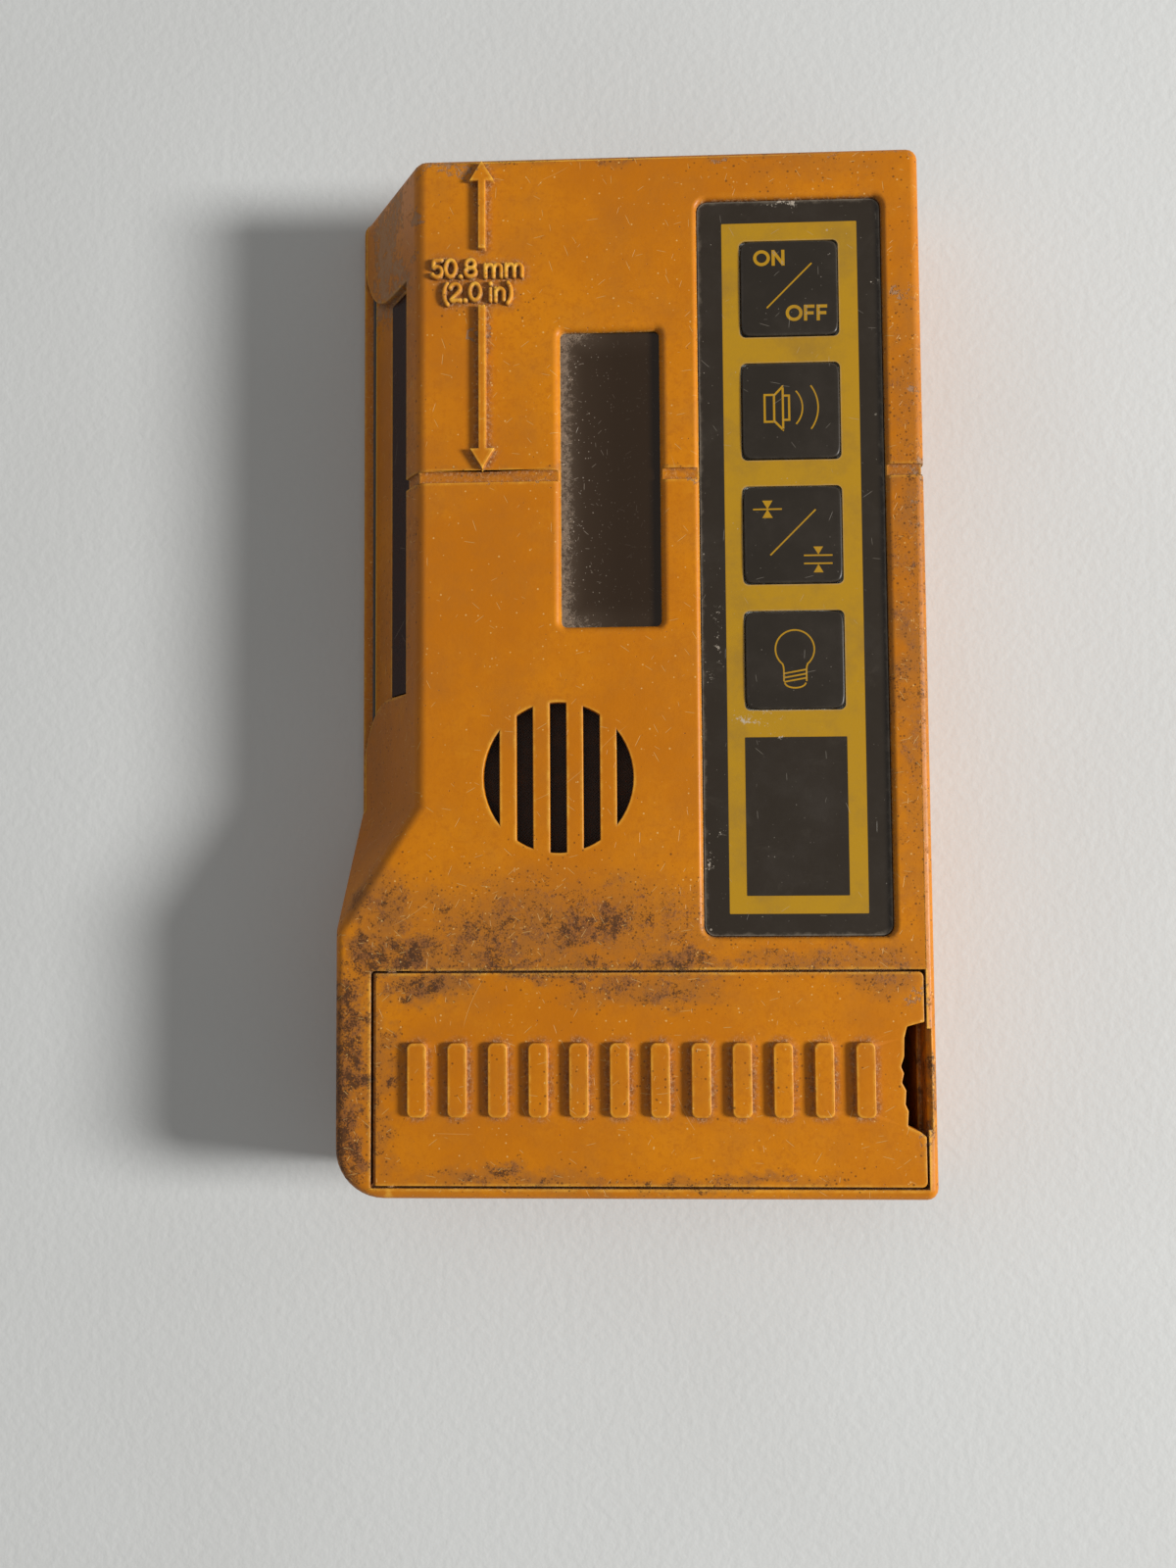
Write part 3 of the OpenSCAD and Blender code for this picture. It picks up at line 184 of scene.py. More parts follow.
def new_finish(name, **sockets):
    """New material with plain values straight on its shader's sockets. Gives the material, its tree, its
    Principled shader, and the place on the surface as a point and in the plane of its side."""
    material = bpy.data.materials.new(name)
    material.use_nodes = True
    tree = material.node_tree
    shader = tree.nodes["Principled BSDF"]
    for key, value in sockets.items():
        shader.inputs[key.replace("_", " ")].default_value = value
    spot, plane = use(tree, surface_place).node.outputs
    return material, tree, shader, spot, plane


def dress(tree, shader, height, **varying):
    """Links what varies to the shader's sockets, and a height in millimetres to its normal."""
    varying["Normal"] = place(tree, "Bump", {"Height": height, "Strength": 1.0, "Distance": MM}).outputs[0]
    for key, value in varying.items():
        tree.links.new(value, shader.inputs[key.replace("_", " ")])


def paint(**finishes):
    """Puts a material on each of the CAD nodes that are named."""
    for name, material in finishes.items():
        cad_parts[name].material_slots[0].material = material


def corners(name, unit=1.0):
    """Lowest and highest corner of a CAD node, in metres or in another unit."""
    return [Vector(corner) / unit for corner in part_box(name)]


# Place on the surface in millimetres, as a point and as two coordinates across the side it belongs to
surface_place, _, out = new_group("surface_place", {"Place": "Vector", "Plane": "Vector"})
tree = surface_place
coords = place(tree, "TexCoord").outputs
spot = stretched(tree, coords["Object"], 1 / MM)
at = split(tree, spot)
lean = split(tree, vector_calc(tree, "ABSOLUTE", coords["Normal"]))
level = calc(tree, "GREATER_THAN", lean[2], calc(tree, "MAXIMUM", lean[0], lean[1]))
sideways = calc(tree, "GREATER_THAN", lean[0], lean[1])
on_side, on_end, on_level = (place(tree, "CombineXYZ", {0: at[i], 1: at[j]}).outputs[0]
                             for i, j in ((1, 2), (0, 2), (0, 1)))
plane = on_end
for picked, other in ((sideways, on_side), (level, on_level)):
    plane = place(tree, "Mix", {0: picked, 4: plane, 5: other}, data_type="VECTOR").outputs[1]
tree.links.new(spot, out["Place"])
tree.links.new(plane, out["Plane"])

# Short hair scratches: each cell of a Voronoi pattern holds one bent line at its own angle
SEED_STEP = (17.3, 9.1, 0)
hair_scratches, into, out = new_group("hair_scratches", {"Mask": "Float"}, Plane=(0, 0, 0), Cell=6,
                                      Length=5, Width=0.1, Share=0.6, Seed=0)
tree = hair_scratches
moved = vector_calc(tree, "ADD", into["Plane"], stretched(tree, SEED_STEP, into["Seed"]))
cells = place(tree, "TexVoronoi", {"Vector": moved, "Scale": calc(tree, "DIVIDE", 1, into["Cell"])},
              voronoi_dimensions="2D").outputs
chance = place(tree, "SeparateColor", {0: cells["Color"]}).outputs
at = split(tree, vector_calc(tree, "SUBTRACT", moved, cells["Position"]))
angle = product(tree, chance[0], 2 * math.pi)
cosine, sine = calc(tree, "COSINE", angle), calc(tree, "SINE", angle)
along = calc(tree, "ADD", product(tree, at[0], cosine), product(tree, at[1], sine))
across = calc(tree, "SUBTRACT", product(tree, at[1], cosine), product(tree, at[0], sine))
curl = product(tree, calc(tree, "SUBTRACT", chance[2], 0.5), 0.06)
across = scaled(tree, curl, product(tree, along, along), across)
half = product(tree, into["Length"], scaled(tree, chance[1], 0.4, 0.1))
line = ramp(tree, calc(tree, "ABSOLUTE", across), into["Width"], product(tree, into["Width"], 0.3))
ends = ramp(tree, calc(tree, "ABSOLUTE", along), half, product(tree, half, 0.5))
draw = calc(tree, "FRACT", scaled(tree, chance[0], 13.7, chance[1]))
picked = calc(tree, "LESS_THAN", draw, into["Share"])
depth = scaled(tree, chance[1], 0.6, 0.4)
mask = product(tree, product(tree, line, ends), product(tree, picked, depth))
tree.links.new(mask, out["Mask"])

# Specks and pits: round spots of uneven size, scattered through space
specks, into, out = new_group("specks", {"Mask": "Float"}, Place=(0, 0, 0), Cell=1.5, Size=0.15, Share=0.5)
tree = specks
cells = place(tree, "TexVoronoi", {"Vector": into["Place"],
                                   "Scale": calc(tree, "DIVIDE", 1, into["Cell"])}).outputs
chance = place(tree, "SeparateColor", {0: cells["Color"]}).outputs
reach = product(tree, into["Size"], scaled(tree, chance[0], 0.7, 0.3))
away = product(tree, cells["Distance"], into["Cell"])
picked = calc(tree, "LESS_THAN", chance[1], into["Share"])
tree.links.new(product(tree, ramp(tree, away, reach, product(tree, reach, 0.5)), picked), out["Mask"])

# Blotches: uneven fractal patches that spread as their amount grows
blotches, into, out = new_group("blotches", {"Mask": "Float"}, Place=(0, 0, 0), Amount=0.5, Soft=0.05,
                                Fineness=1.0)
tree = blotches
near = stretched(tree, into["Place"], into["Fineness"])
coarse = noise(tree, near, 5.5, 5.0, 0.62, 0.6)
grain = noise(tree, near, 0.9, 5.0, 0.75)
mixed = scaled(tree, coarse, 0.5, product(tree, grain, 0.5))
edge = scaled(tree, into["Amount"], -0.26, 0.66)
covered = ramp(tree, mixed, edge, calc(tree, "ADD", edge, into["Soft"]))
tree.links.new(product(tree, covered, ramp(tree, into["Amount"], 0.02, 0.25)), out["Mask"])


def near_surface(name, size, detail, rough, high, **options):
    """Node group that finds where a near surface shuts off the light, broken up by noise."""
    tree, into, out = new_group(name, {"Mask": "Float"}, Place=(0, 0, 0), Reach=1.0)
    reach = product(tree, into["Reach"], MM)
    shut = place(tree, "AmbientOcclusion", {"Distance": reach}, samples=4, **options)
    near = calc(tree, "SUBTRACT", 1, shut.outputs["AO"])
    patchy = noise(tree, into["Place"], size, detail, rough)
    tree.links.new(ramp(tree, scaled(tree, patchy, 0.5, near), 0.38, high), out["Mask"])
    return tree


# Rubbed edges, pale from wear and as a painted highlight, have a near surface inside the solid; in packed
# creases, where grime stays and painted shade darkens the foot of raised marks, it is outside
rubbed_and_highlit_edges = near_surface("rubbed_and_highlit_edges", 2.2, 4.0, 0.65, 0.72, inside=True, only_local=True)
grimy_shaded_creases = near_surface("grimy_shaded_creases", 1.6, 5.0, 0.7, 0.62)

# Oval patch: a soft oval round a point, with a strength
SWAY = (14, 9, 0)
PATCH_DEPTH = 40
oval_patch, into, out = new_group("oval_patch", {"Amount": "Float"}, Place=(0, 0, 0), Centre=(0, 0, 0),
                                   Half=(5, 5, 5), Strength=0.5, Under=0)
tree = oval_patch
off = vector_calc(tree, "SUBTRACT", into["Place"], into["Centre"])
share = vector_calc(tree, "DIVIDE", off, into["Half"])
away = place(tree, "VectorMath", {0: share}, operation="LENGTH").outputs["Value"]
amount = product(tree, ramp(tree, away, 1.5, 0.1), into["Strength"])
tree.links.new(calc(tree, "MAXIMUM", amount, into["Under"]), out["Amount"])


def spread(tree, spot, patches, height):
    """Amount of a mark at each place: the strongest of several soft oval patches with ragged outlines."""
    sway = place(tree, "TexNoise", {"Vector": spot, "Scale": 0.22, "Detail": 5.0, "Roughness": 0.6})
    sway = vector_calc(tree, "SUBTRACT", sway.outputs["Color"], (0.5, 0.5, 0.5))
    swayed = vector_calc(tree, "MULTIPLY_ADD", sway, SWAY, spot)
    amount = 0.0
    for x, y, half_w, half_h, strength in patches:
        amount = use(tree, oval_patch, Place=swayed, Centre=(x, y, height),
                     Half=(half_w, half_h, PATCH_DEPTH), Strength=strength, Under=amount)
    return amount


def orange_plastic(name, stains_and_shade, scrapes, height, film):
    """Scuffed orange moulding with grime and scrapes at given places, worked out layer over layer. The pale
    rubbed edges are partly a painted highlight, and some of the grime is painted shade.
    """
    material, tree, shader, spot, plane = new_finish(name, IOR=1.49, Specular_IOR_Level=0.2)
    cloud = noise(tree, spot, 30, 4.0, 0.6)
    streak = noise(tree, spot, 5, 6.0, 0.65)
    mottle = noise(tree, spot, 0.9, 5.0, 0.7)
    colour = tint(tree, ramp(tree, cloud, 0.35, 0.68), ORANGE_DEEP, ORANGE)
    colour = tint(tree, ramp(tree, streak, 0.52, 0.85, 0, 0.4), colour, ORANGE_PALE)
    colour = tint(tree, ramp(tree, mottle, 0.46, 0.66, 0, 0.75), colour, ORANGE_DEEP)
    soiled_and_shaded = spread(tree, spot, stains_and_shade, height)
    drift = noise(tree, spot, 9, 6.0, 0.68)
    haze = product(tree, ramp(tree, drift, 0.4, 0.75), film)
    cover = scaled(tree, drift, 1.2, 0.1)
    haze = scaled(tree, ramp(tree, soiled_and_shaded, 0.15, 0.8), cover, haze, clamp=True)
    colour = tint(tree, haze, colour, BROWN_FILM)
    edges = use(tree, rubbed_and_highlit_edges, Place=spot, Reach=0.6)
    scraped = use(tree, blotches, Place=spot, Amount=spread(tree, spot, scrapes, height), Soft=0.06)
    patch = use(tree, blotches, Place=spot, Amount=soiled_and_shaded, Soft=0.15, Fineness=2.6)
    core = use(tree, blotches, Place=spot, Amount=product(tree, soiled_and_shaded, 0.82), Soft=0.08, Fineness=3.2)
    grit = use(tree, specks, Place=spot, Cell=0.6, Size=0.26, Share=soiled_and_shaded)
    core = calc(tree, "MAXIMUM", core, product(tree, grit, 0.75))
    # Crease mask from ambient occlusion: pale dust and dark grime, the dark part partly painted shade at
    # the foot of raised marks
    crease_grime_and_shade = use(tree, grimy_shaded_creases, Place=spot, Reach=1.3)
    crust = ramp(tree, noise(tree, spot, 0.5, 3.0, 0.7), 0.46, 0.62)
    fine = use(tree, hair_scratches, Plane=plane, Cell=2.4, Length=2.2, Width=0.065, Share=0.32, Seed=1)
    long = use(tree, hair_scratches, Plane=plane, Cell=15, Length=11, Width=0.07, Share=0.35, Seed=2)
    nicks = use(tree, hair_scratches, Plane=plane, Cell=1.4, Length=1.1, Width=0.075,
                Share=product(tree, soiled_and_shaded, 0.4), Seed=4)
    hair = calc(tree, "MAXIMUM", nicks, scaled(tree, long, 0.6, fine, clamp=True))
    pale = use(tree, specks, Place=spot, Cell=1.0, Size=0.19, Share=0.5)
    pits = use(tree, specks, Place=spot, Cell=1.2, Size=0.15, Share=0.3)
    colour = layered(tree, colour, (edges, 0.75, RUBBED_AND_HIGHLIT), (scraped, 0.7, SCRAPED), (patch, 0.66, GRIME_AND_SHADE),
                     (core, 0.8, GRIME_CORE_AND_SHADE), (crease_grime_and_shade, 0.75, tint(tree, crust, GRIME_AND_SHADE, DUST)),
                     (hair, 0.66, HAIRLINE), (pale, 0.7, HAIRLINE), (pits, 0.6, GRIME_AND_SHADE))
    coated = calc(tree, "MAXIMUM", patch, scraped)
    rough = summed(tree, 0.29, (streak, 0.22), (coated, 0.25), (crease_grime_and_shade, 0.25))
    relief = summed(tree, 0.0, (noise(tree, spot, 0.55, 2.0, 0.5), 0.016), (streak, 0.05), (hair, -0.03),
                    (pits, -0.05), (scraped, -0.06), (product(tree, crease_grime_and_shade, crust), 0.06), (patch, 0.02))
    dress(tree, shader, relief, Base_Color=colour, Roughness=scaled(tree, edges, 0.08, rough, clamp=True))
    return material


# Mesh finish of a CAD node: joins its loose triangles and picks the edges that are eased, which are sharper
# than an angle and above a height, then shades the result smooth
SHARP = math.radians(38)
GENTLE = math.radians(50)
JOIN = 0.002 * MM


def shape_nodes(name):
    """New geometry node group from one shape to another; gives its tree and its two ends."""
    tree = bpy.data.node_groups.new(name, "GeometryNodeTree")
    for way in ("INPUT", "OUTPUT"):
        tree.interface.new_socket("Geometry", in_out=way, socket_type="NodeSocketGeometry")
    return tree, tree.nodes.new("NodeGroupInput").outputs[0], tree.nodes.new("NodeGroupOutput").inputs[0]


def picked_edges(name, above):
    """Geometry node group that marks the sharp edges of a joined mesh above a height for the bevel."""
    tree, shape, done = shape_nodes(name)
    plain = place(tree, "GeometryNodeRemoveAttribute", {0: shape, "Name": "custom_normal"}).outputs[0]
    joined = place(tree, "GeometryNodeMergeByDistance", {0: plain, "Distance": JOIN}).outputs[0]
    fold = place(tree, "GeometryNodeInputMeshEdgeAngle").outputs[0]
    height = split(tree, place(tree, "GeometryNodeInputPosition").outputs[0])[2]
    tests = [place(tree, "FunctionNodeCompare", {0: value, 1: least}, operation="GREATER_THAN").outputs[0]
             for value, least in ((fold, SHARP), (height, above))]
    both = place(tree, "FunctionNodeBooleanMath", dict(enumerate(tests))).outputs[0]
    marked = place(tree, "GeometryNodeStoreNamedAttribute",
                   {0: joined, "Name": "bevel_weight_edge", "Value": both}, domain="EDGE")
    tree.links.new(marked.outputs[0], done)
    return tree


smooth_faces, shape, done = shape_nodes("smooth_faces")
tree = smooth_faces
fold = place(tree, "GeometryNodeInputMeshEdgeAngle").outputs[0]
gentle = place(tree, "FunctionNodeCompare", {0: fold, 1: GENTLE}, operation="LESS_THAN").outputs[0]
faces = place(tree, "GeometryNodeSetShadeSmooth", {0: shape}).outputs[0]
edges = place(tree, "GeometryNodeSetShadeSmooth", {0: faces, "Shade Smooth": gentle}, domain="EDGE")
tree.links.new(edges.outputs[0], done)


def ease_edges(name, width, above=-1.0):
    """Rounds the sharp edges of a CAD node above a height by a width and shades it smooth."""
    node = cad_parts[name]
    node.modifiers.new("joined", "NODES").node_group = picked_edges(name + "_edges", above)
    eased = node.modifiers.new("eased", "BEVEL")
    eased.width = width
    eased.segments = 2
    eased.limit_method = "WEIGHT"
    eased.use_clamp_overlap = False
    eased.loop_slide = False
    node.modifiers.new("smooth", "NODES").node_group = smooth_faces
    node.modifiers.new("even", "WEIGHTED_NORMAL").keep_sharp = True


shell_lo, shell_hi = corners("front_shell")
FACE_Z = shell_hi.z - MARK_RISE
scuffed_orange = orange_plastic("scuffed_orange", FRONT_GRIME_AND_SHADE, FRONT_SCRAPES, FACE_Z / MM, SHELL_FILM)
ease_edges("front_shell", SHELL_EASE, shell_lo.z + RIM_CLEAR)
paint(front_shell=scuffed_orange)


# Raised numbers: the distance from the top edge to the grade groove, moulded proud of the face in two
# lines between the arrows. They are rounded beads, worn down by handling, with dust round their feet and
# dark grime there that is partly painted shade.
BEAD_W = 0.8 * MM
BEAD_H = 0.75 * MM
BEAD_ROOT = 0.25 * MM
CAP_H = 3.1 * MM
STRETCH = np.array([1.09, 1.0])
NUMBER_LINES = [("50.8 mm", -23.2 * MM, 61.0 * MM), ("(2.0 in)", -23.2 * MM, 57.2 * MM)]


def arc(x, y, half_w, half_h, start, end, count=17):
    """Points on an oval arc between two angles in degrees."""
    turn = np.radians(np.linspace(start, end, count))
    return np.column_stack([x + half_w * np.cos(turn), y + half_h * np.sin(turn)])


# Strokes of each sign on a cap height of 1, with the width that the sign takes
SIGNS = {
    "0": (0.62, [arc(0.31, 0.5, 0.24, 0.42, 90, 450, 33)]),
    "2": (0.6, [np.vstack([arc(0.29, 0.68, 0.23, 0.24, 165, -35, 15), [[0.07, 0.08], [0.54, 0.08]]])]),
    "5": (0.6, [np.vstack([[[0.5, 0.92], [0.14, 0.92], [0.11, 0.54]],
                           arc(0.28, 0.34, 0.24, 0.26, 110, -150, 19)])]),
    "8": (0.62, [arc(0.31, 0.7, 0.2, 0.21, 90, 450, 25), arc(0.31, 0.29, 0.24, 0.22, 90, 450, 25)]),
    ".": (0.3, [np.array([[0.14, 0.08], [0.17, 0.08]])]),
    "m": (0.95, [np.array([[0.1, 0.06], [0.1, 0.64]]),
                 np.vstack([arc(0.29, 0.44, 0.19, 0.2, 180, 0, 11), [[0.48, 0.06]]]),
                 np.vstack([arc(0.66, 0.44, 0.18, 0.2, 180, 0, 11), [[0.84, 0.06]]])]),
    "n": (0.6, [np.array([[0.1, 0.06], [0.1, 0.64]]),
                np.vstack([arc(0.29, 0.44, 0.19, 0.2, 180, 0, 11), [[0.48, 0.06]]])]),
    "i": (0.26, [np.array([[0.13, 0.06], [0.13, 0.62]]), np.array([[0.13, 0.88], [0.13, 0.91]])]),
    "(": (0.36, [arc(0.46, 0.42, 0.32, 0.6, 122, 238)]),
    ")": (0.36, [arc(-0.1, 0.42, 0.32, 0.6, 58, -58)]),
    " ": (0.28, []),
}


def length_run(points):
    """Length of a path from its start to each of its points."""
    return np.concatenate([[0], np.cumsum(np.linalg.norm(np.diff(points, axis=0), axis=1))])


def along_path(points, run, stations):
    """Points on a path at given lengths from its start."""
    return np.column_stack([np.interp(stations, run, points[:, i]) for i in range(2)])


def bead(points, width, height, root, z):
    """Rounded bead along a path set out at equal steps: a domed profile is carried square to the path, and
    shrinks over half a width past each end as a circle does, so that both ends close round."""
    run = length_run(points)
    path = along_path(points, run, np.linspace(0, run[-1], max(int(run[-1] / (width * 0.2)), 1) + 1))
    ahead = np.gradient(path, axis=0)
    ahead /= np.linalg.norm(ahead, axis=1)[:, None]
    tip = np.cos(np.linspace(0.15, np.pi / 2, 6)[:-1])
    past = np.concatenate([tip, np.zeros(len(path)), tip[::-1]]) * width / 2
    size = np.sqrt(np.clip(1 - (past / (width / 2)) ** 2, 0, 1))
    sign = np.concatenate([-np.ones(len(tip)), np.zeros(len(path)), np.ones(len(tip))])
    pick = np.concatenate([np.zeros(len(tip), int), np.arange(len(path)), np.full(len(tip), len(path) - 1)])
    middle = path[pick] + ahead[pick] * (sign * past)[:, None]
    beside = np.column_stack([-ahead[pick][:, 1], ahead[pick][:, 0]])
    turn = np.linspace(0, np.pi, 11)
    out = np.concatenate([np.sign(np.cos(turn)) * np.abs(np.cos(turn)) ** 0.75, [-1, 1]])
    up = np.concatenate([height * np.sin(turn) ** 0.75, [-root, -root]])
    reach = out[None, :] * size[:, None] * width / 2
    grid = np.empty((len(middle), len(out), 3))
    grid[..., :2] = middle[:, None] + beside[:, None] * reach[..., None]
    grid[..., 2] = z + np.where(up > 0, up * (0.35 + 0.65 * size[:, None]), up)
    return grid


def grid_mesh(name, grids, wrap):
    """Mesh object of several point grids, with quads between neighbours; where asked, each grid is wrapped
    round its columns, and a face closes its first row and its last."""
    points, faces, start = [], [], 0
    for grid in grids:
        rows, columns = grid.shape[:2]
        index = start + np.arange(rows * columns).reshape(rows, columns)
        following = np.roll(index, -1, axis=1)
        last = columns if wrap else columns - 1
        faces += np.stack([index[:-1, :last], following[:-1, :last], following[1:, :last],
                           index[1:, :last]], axis=-1).reshape(-1, 4).tolist()
        if wrap:
            faces += [index[0, ::-1].tolist(), index[-1].tolist()]
        points.append(grid.reshape(-1, 3))
        start += rows * columns
    mesh = bpy.data.meshes.new(name)
    mesh.from_pydata(np.vstack(points), [], faces)
    mesh.polygons.foreach_set("use_smooth", np.ones(len(mesh.polygons), bool))
    mesh.update()
    piece = bpy.data.objects.new(name, mesh)
    bpy.context.scene.collection.objects.link(piece)
    return piece


beads = []
for words, middle_x, foot_y in NUMBER_LINES:
    x = middle_x - CAP_H * STRETCH[0] * sum(SIGNS[sign][0] for sign in words) / 2
    for sign in words:
        wide, strokes = SIGNS[sign]
        beads += [bead(np.array([x, foot_y]) + stroke * STRETCH * CAP_H, BEAD_W, BEAD_H, BEAD_ROOT, FACE_Z)
                  for stroke in strokes]
        x += wide * STRETCH[0] * CAP_H
numbers = grid_mesh("raised_numbers", beads, True)
numbers.data.materials.append(scuffed_orange)
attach(numbers, "case")


# Display: a smoky clear pane bonded behind its opening. Dust has crept in along its edges, so that the
# glass below, with its frame, light guide and contact strips on the board, hardly shows.
PANE_LAP = 1.8
PANE_SHIFT = 1.4
FRAME_EASE = 0.1 * MM
PANE = (0.021, 0.01, 0.003, 1)
PANE_LIT = (0.034, 0.019, 0.009, 1)
PANE_DUST = (0.25, 0.185, 0.13, 1)
PANE_GRIT = (0.42, 0.34, 0.26, 1)

# Distance in from the edge of a rounded box in plan: positive inside it, in millimetres
box_depth, into, out = new_group("box_depth", {"Depth": "Float"}, Place=(0, 0, 0), Centre=(0, 0, 0),
                                 Half=(5, 5, 0), Corner=0.5)
tree = box_depth
off = vector_calc(tree, "ABSOLUTE", vector_calc(tree, "SUBTRACT", into["Place"], into["Centre"]))
off = split(tree, vector_calc(tree, "SUBTRACT", off, into["Half"]))
beyond = [calc(tree, "ADD", off[i], into["Corner"]) for i in range(2)]
outside = calc(tree, "SQRT", calc(tree, "ADD", *[
    calc(tree, "POWER", calc(tree, "MAXIMUM", value, 0), 2) for value in beyond]))
within = calc(tree, "MINIMUM", calc(tree, "MAXIMUM", *beyond), 0)
tree.links.new(calc(tree, "SUBTRACT", into["Corner"], calc(tree, "ADD", outside, within)), out["Depth"])

dusty_pane, tree, shader, spot, plane = new_finish("dusty_pane", IOR=1.49, Specular_IOR_Level=0.22)
pane_lo, pane_hi = corners("display_window", MM)
middle = (pane_lo + pane_hi) / 2
half = (pane_hi - pane_lo) / 2 - Vector((PANE_LAP, PANE_LAP, 0))
rim = use(tree, box_depth, Place=spot, Centre=(middle.x + PANE_SHIFT, middle.y, 0),
          Half=(half.x + PANE_SHIFT, half.y, 0), Corner=2.5)
leftward = ramp(tree, split(tree, spot)[0], middle.x + 0.3 * half.x, middle.x - half.x)
packed = product(tree, ramp(tree, rim, 4.2, 0.2), scaled(tree, leftward, 0.72, 0.2))
dust = use(tree, blotches, Place=spot, Amount=packed, Soft=0.12, Fineness=8.0)
veil = product(tree, packed, 0.16)
flecks = use(tree, specks, Place=spot, Cell=0.5, Size=0.14, Share=0.5)
hair = use(tree, hair_scratches, Plane=plane, Cell=1.8, Length=1.3, Width=0.05, Share=0.4, Seed=5)
loose = product(tree, calc(tree, "MAXIMUM", flecks, hair), scaled(tree, leftward, 0.85, 0.1))
# Pane painted lighter towards the left: painted light, with the right part in the painted shade of the
# opening's right wall
colour = tint(tree, leftward, PANE, PANE_LIT)
colour = tint(tree, scaled(tree, dust, 0.66, veil, clamp=True), colour, PANE_DUST)
dress(tree, shader, product(tree, calc(tree, "MAXIMUM", loose, dust), 0.02),
      Base_Color=layered(tree, colour, (loose, 0.8, PANE_GRIT)), Roughness=scaled(tree, dust, 0.5, 0.2))


def moulded(name, colour, worn, rough, grain=0.6, relief=0.012):
    """Plain moulding or sheet: two close colours in soft clouds, fine grain and a few hair scratches."""
    material, tree, shader, spot, plane = new_finish(name)
    cloud = noise(tree, spot, 6, 5.0, 0.65)
    skin = noise(tree, spot, grain, 2.0, 0.5)
    hair = use(tree, hair_scratches, Plane=plane, Cell=5, Length=4, Width=0.06, Share=0.4, Seed=3)
    tone = tint(tree, ramp(tree, cloud, 0.35, 0.75), colour, worn)
    dress(tree, shader, summed(tree, 0.0, (skin, relief), (hair, -0.02)),
          Base_Color=layered(tree, tone, (hair, 0.4, worn)),
          Roughness=scaled(tree, cloud, 0.25, rough - 0.12))
    return material


black_moulding = moulded("black_moulding", (0.022, 0.021, 0.02, 1), (0.048, 0.045, 0.042, 1), 0.5)
white_moulding = moulded("white_moulding", (0.74, 0.73, 0.69, 1), (0.62, 0.6, 0.54, 1), 0.45)
black_rubber = moulded("black_rubber", (0.02, 0.02, 0.02, 1), (0.04, 0.038, 0.036, 1), 0.72, 0.3, 0.02)
crystal_glass = moulded("crystal_glass", (0.15, 0.165, 0.13, 1), (0.19, 0.2, 0.16, 1), 0.12, 2.0, 0.002)
paint(display_window=dusty_pane, display_frame=black_moulding, display_backlight=white_moulding,
      display_glass=crystal_glass, zebra_strips=black_rubber)
ease_edges("display_frame", FRAME_EASE)


# Keypad stack: a printed circuit film lies on the floor of the recess, and a spacer film above it makes
# room for the keys. A stamped steel dome under each key gives the click: it snaps nearly flat when pressed.
KEYS = ("power", "sound", "precision", "lamp")
DOME_T = 0.1 * MM
CIRCUIT = (0.52, 0.5, 0.41, 1)
SILVER_INK = (0.56, 0.56, 0.55, 1)
SPACER = (0.66, 0.64, 0.56, 1)
SPACER_WORN = (0.58, 0.55, 0.46, 1)


def metal(name, colour, tarnish, rough, lines):
    """Plated or turned metal: tool lines, scaled along each axis, and tarnish in patches."""
    material, tree, shader, spot, _ = new_finish(name, Metallic=1.0)
    patch = noise(tree, spot, 2.5, 5.0, 0.65)
    tool = noise(tree, place(tree, "Mapping", {"Vector": spot, "Scale": lines}).outputs[0], 1, 3.0, 0.6)
    dress(tree, shader, product(tree, tool, 0.006),
          Base_Color=tint(tree, ramp(tree, patch, 0.5, 0.8), colour, tarnish),
          Roughness=summed(tree, rough - 0.18, (patch, 0.16), (tool, 0.22)))
    return material


def snap_dome(name, x, y, lo, hi):
    """Shallow dome of sheet steel: part of a sphere from its top to its rim and, one thickness further in,
    of a smaller one back to the middle, turned about the key's axis. The sphere's radius is half the sum
    of the rise and of the rim's squared radius over the rise."""
    reach, rise = (hi.x - lo.x) / 2, hi.z - lo.z
    outer = (reach ** 2 / rise + rise) / 2
    inner, sunk = outer - DOME_T, outer - rise
    share = np.linspace(0.01, 1, 14)
    over, under = share * reach, share[::-1] * np.sqrt(inner ** 2 - sunk ** 2)
    away = np.concatenate([over, under])[:, None]
    up = np.concatenate([np.sqrt(outer ** 2 - over ** 2), np.sqrt(inner ** 2 - under ** 2)])[:, None] - sunk
    turn = np.linspace(2 * np.pi, 0, 64, endpoint=False)
    grid = np.empty((len(away), len(turn), 3))
    grid[..., 0] = x + away * np.cos(turn)
    grid[..., 1] = y + away * np.sin(turn)
    grid[..., 2] = lo.z + up
    return grid_mesh(name, [grid], True)


plated_steel = metal("plated_steel", (0.6, 0.59, 0.57, 1), (0.36, 0.3, 0.24, 1), 0.34, (3, 3, 9))
lo, hi = corners("snap_domes")
for sign in KEYS:
    middle = sum(corners("key_" + sign), Vector()) / 2
    dome = snap_dome("snap_dome_" + sign, middle.x, middle.y, lo, hi)
    dome.data.materials.append(plated_steel)
    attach(dome, "case")
    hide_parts("snap_domes")
    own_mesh(dome)


def stripes(tree, value):
    """Distance from the middle of the stripe that a value falls in, as a share of the stripes' spacing."""
    return calc(tree, "ABSOLUTE", calc(tree, "SUBTRACT", calc(tree, "FRACT", value), 0.5))


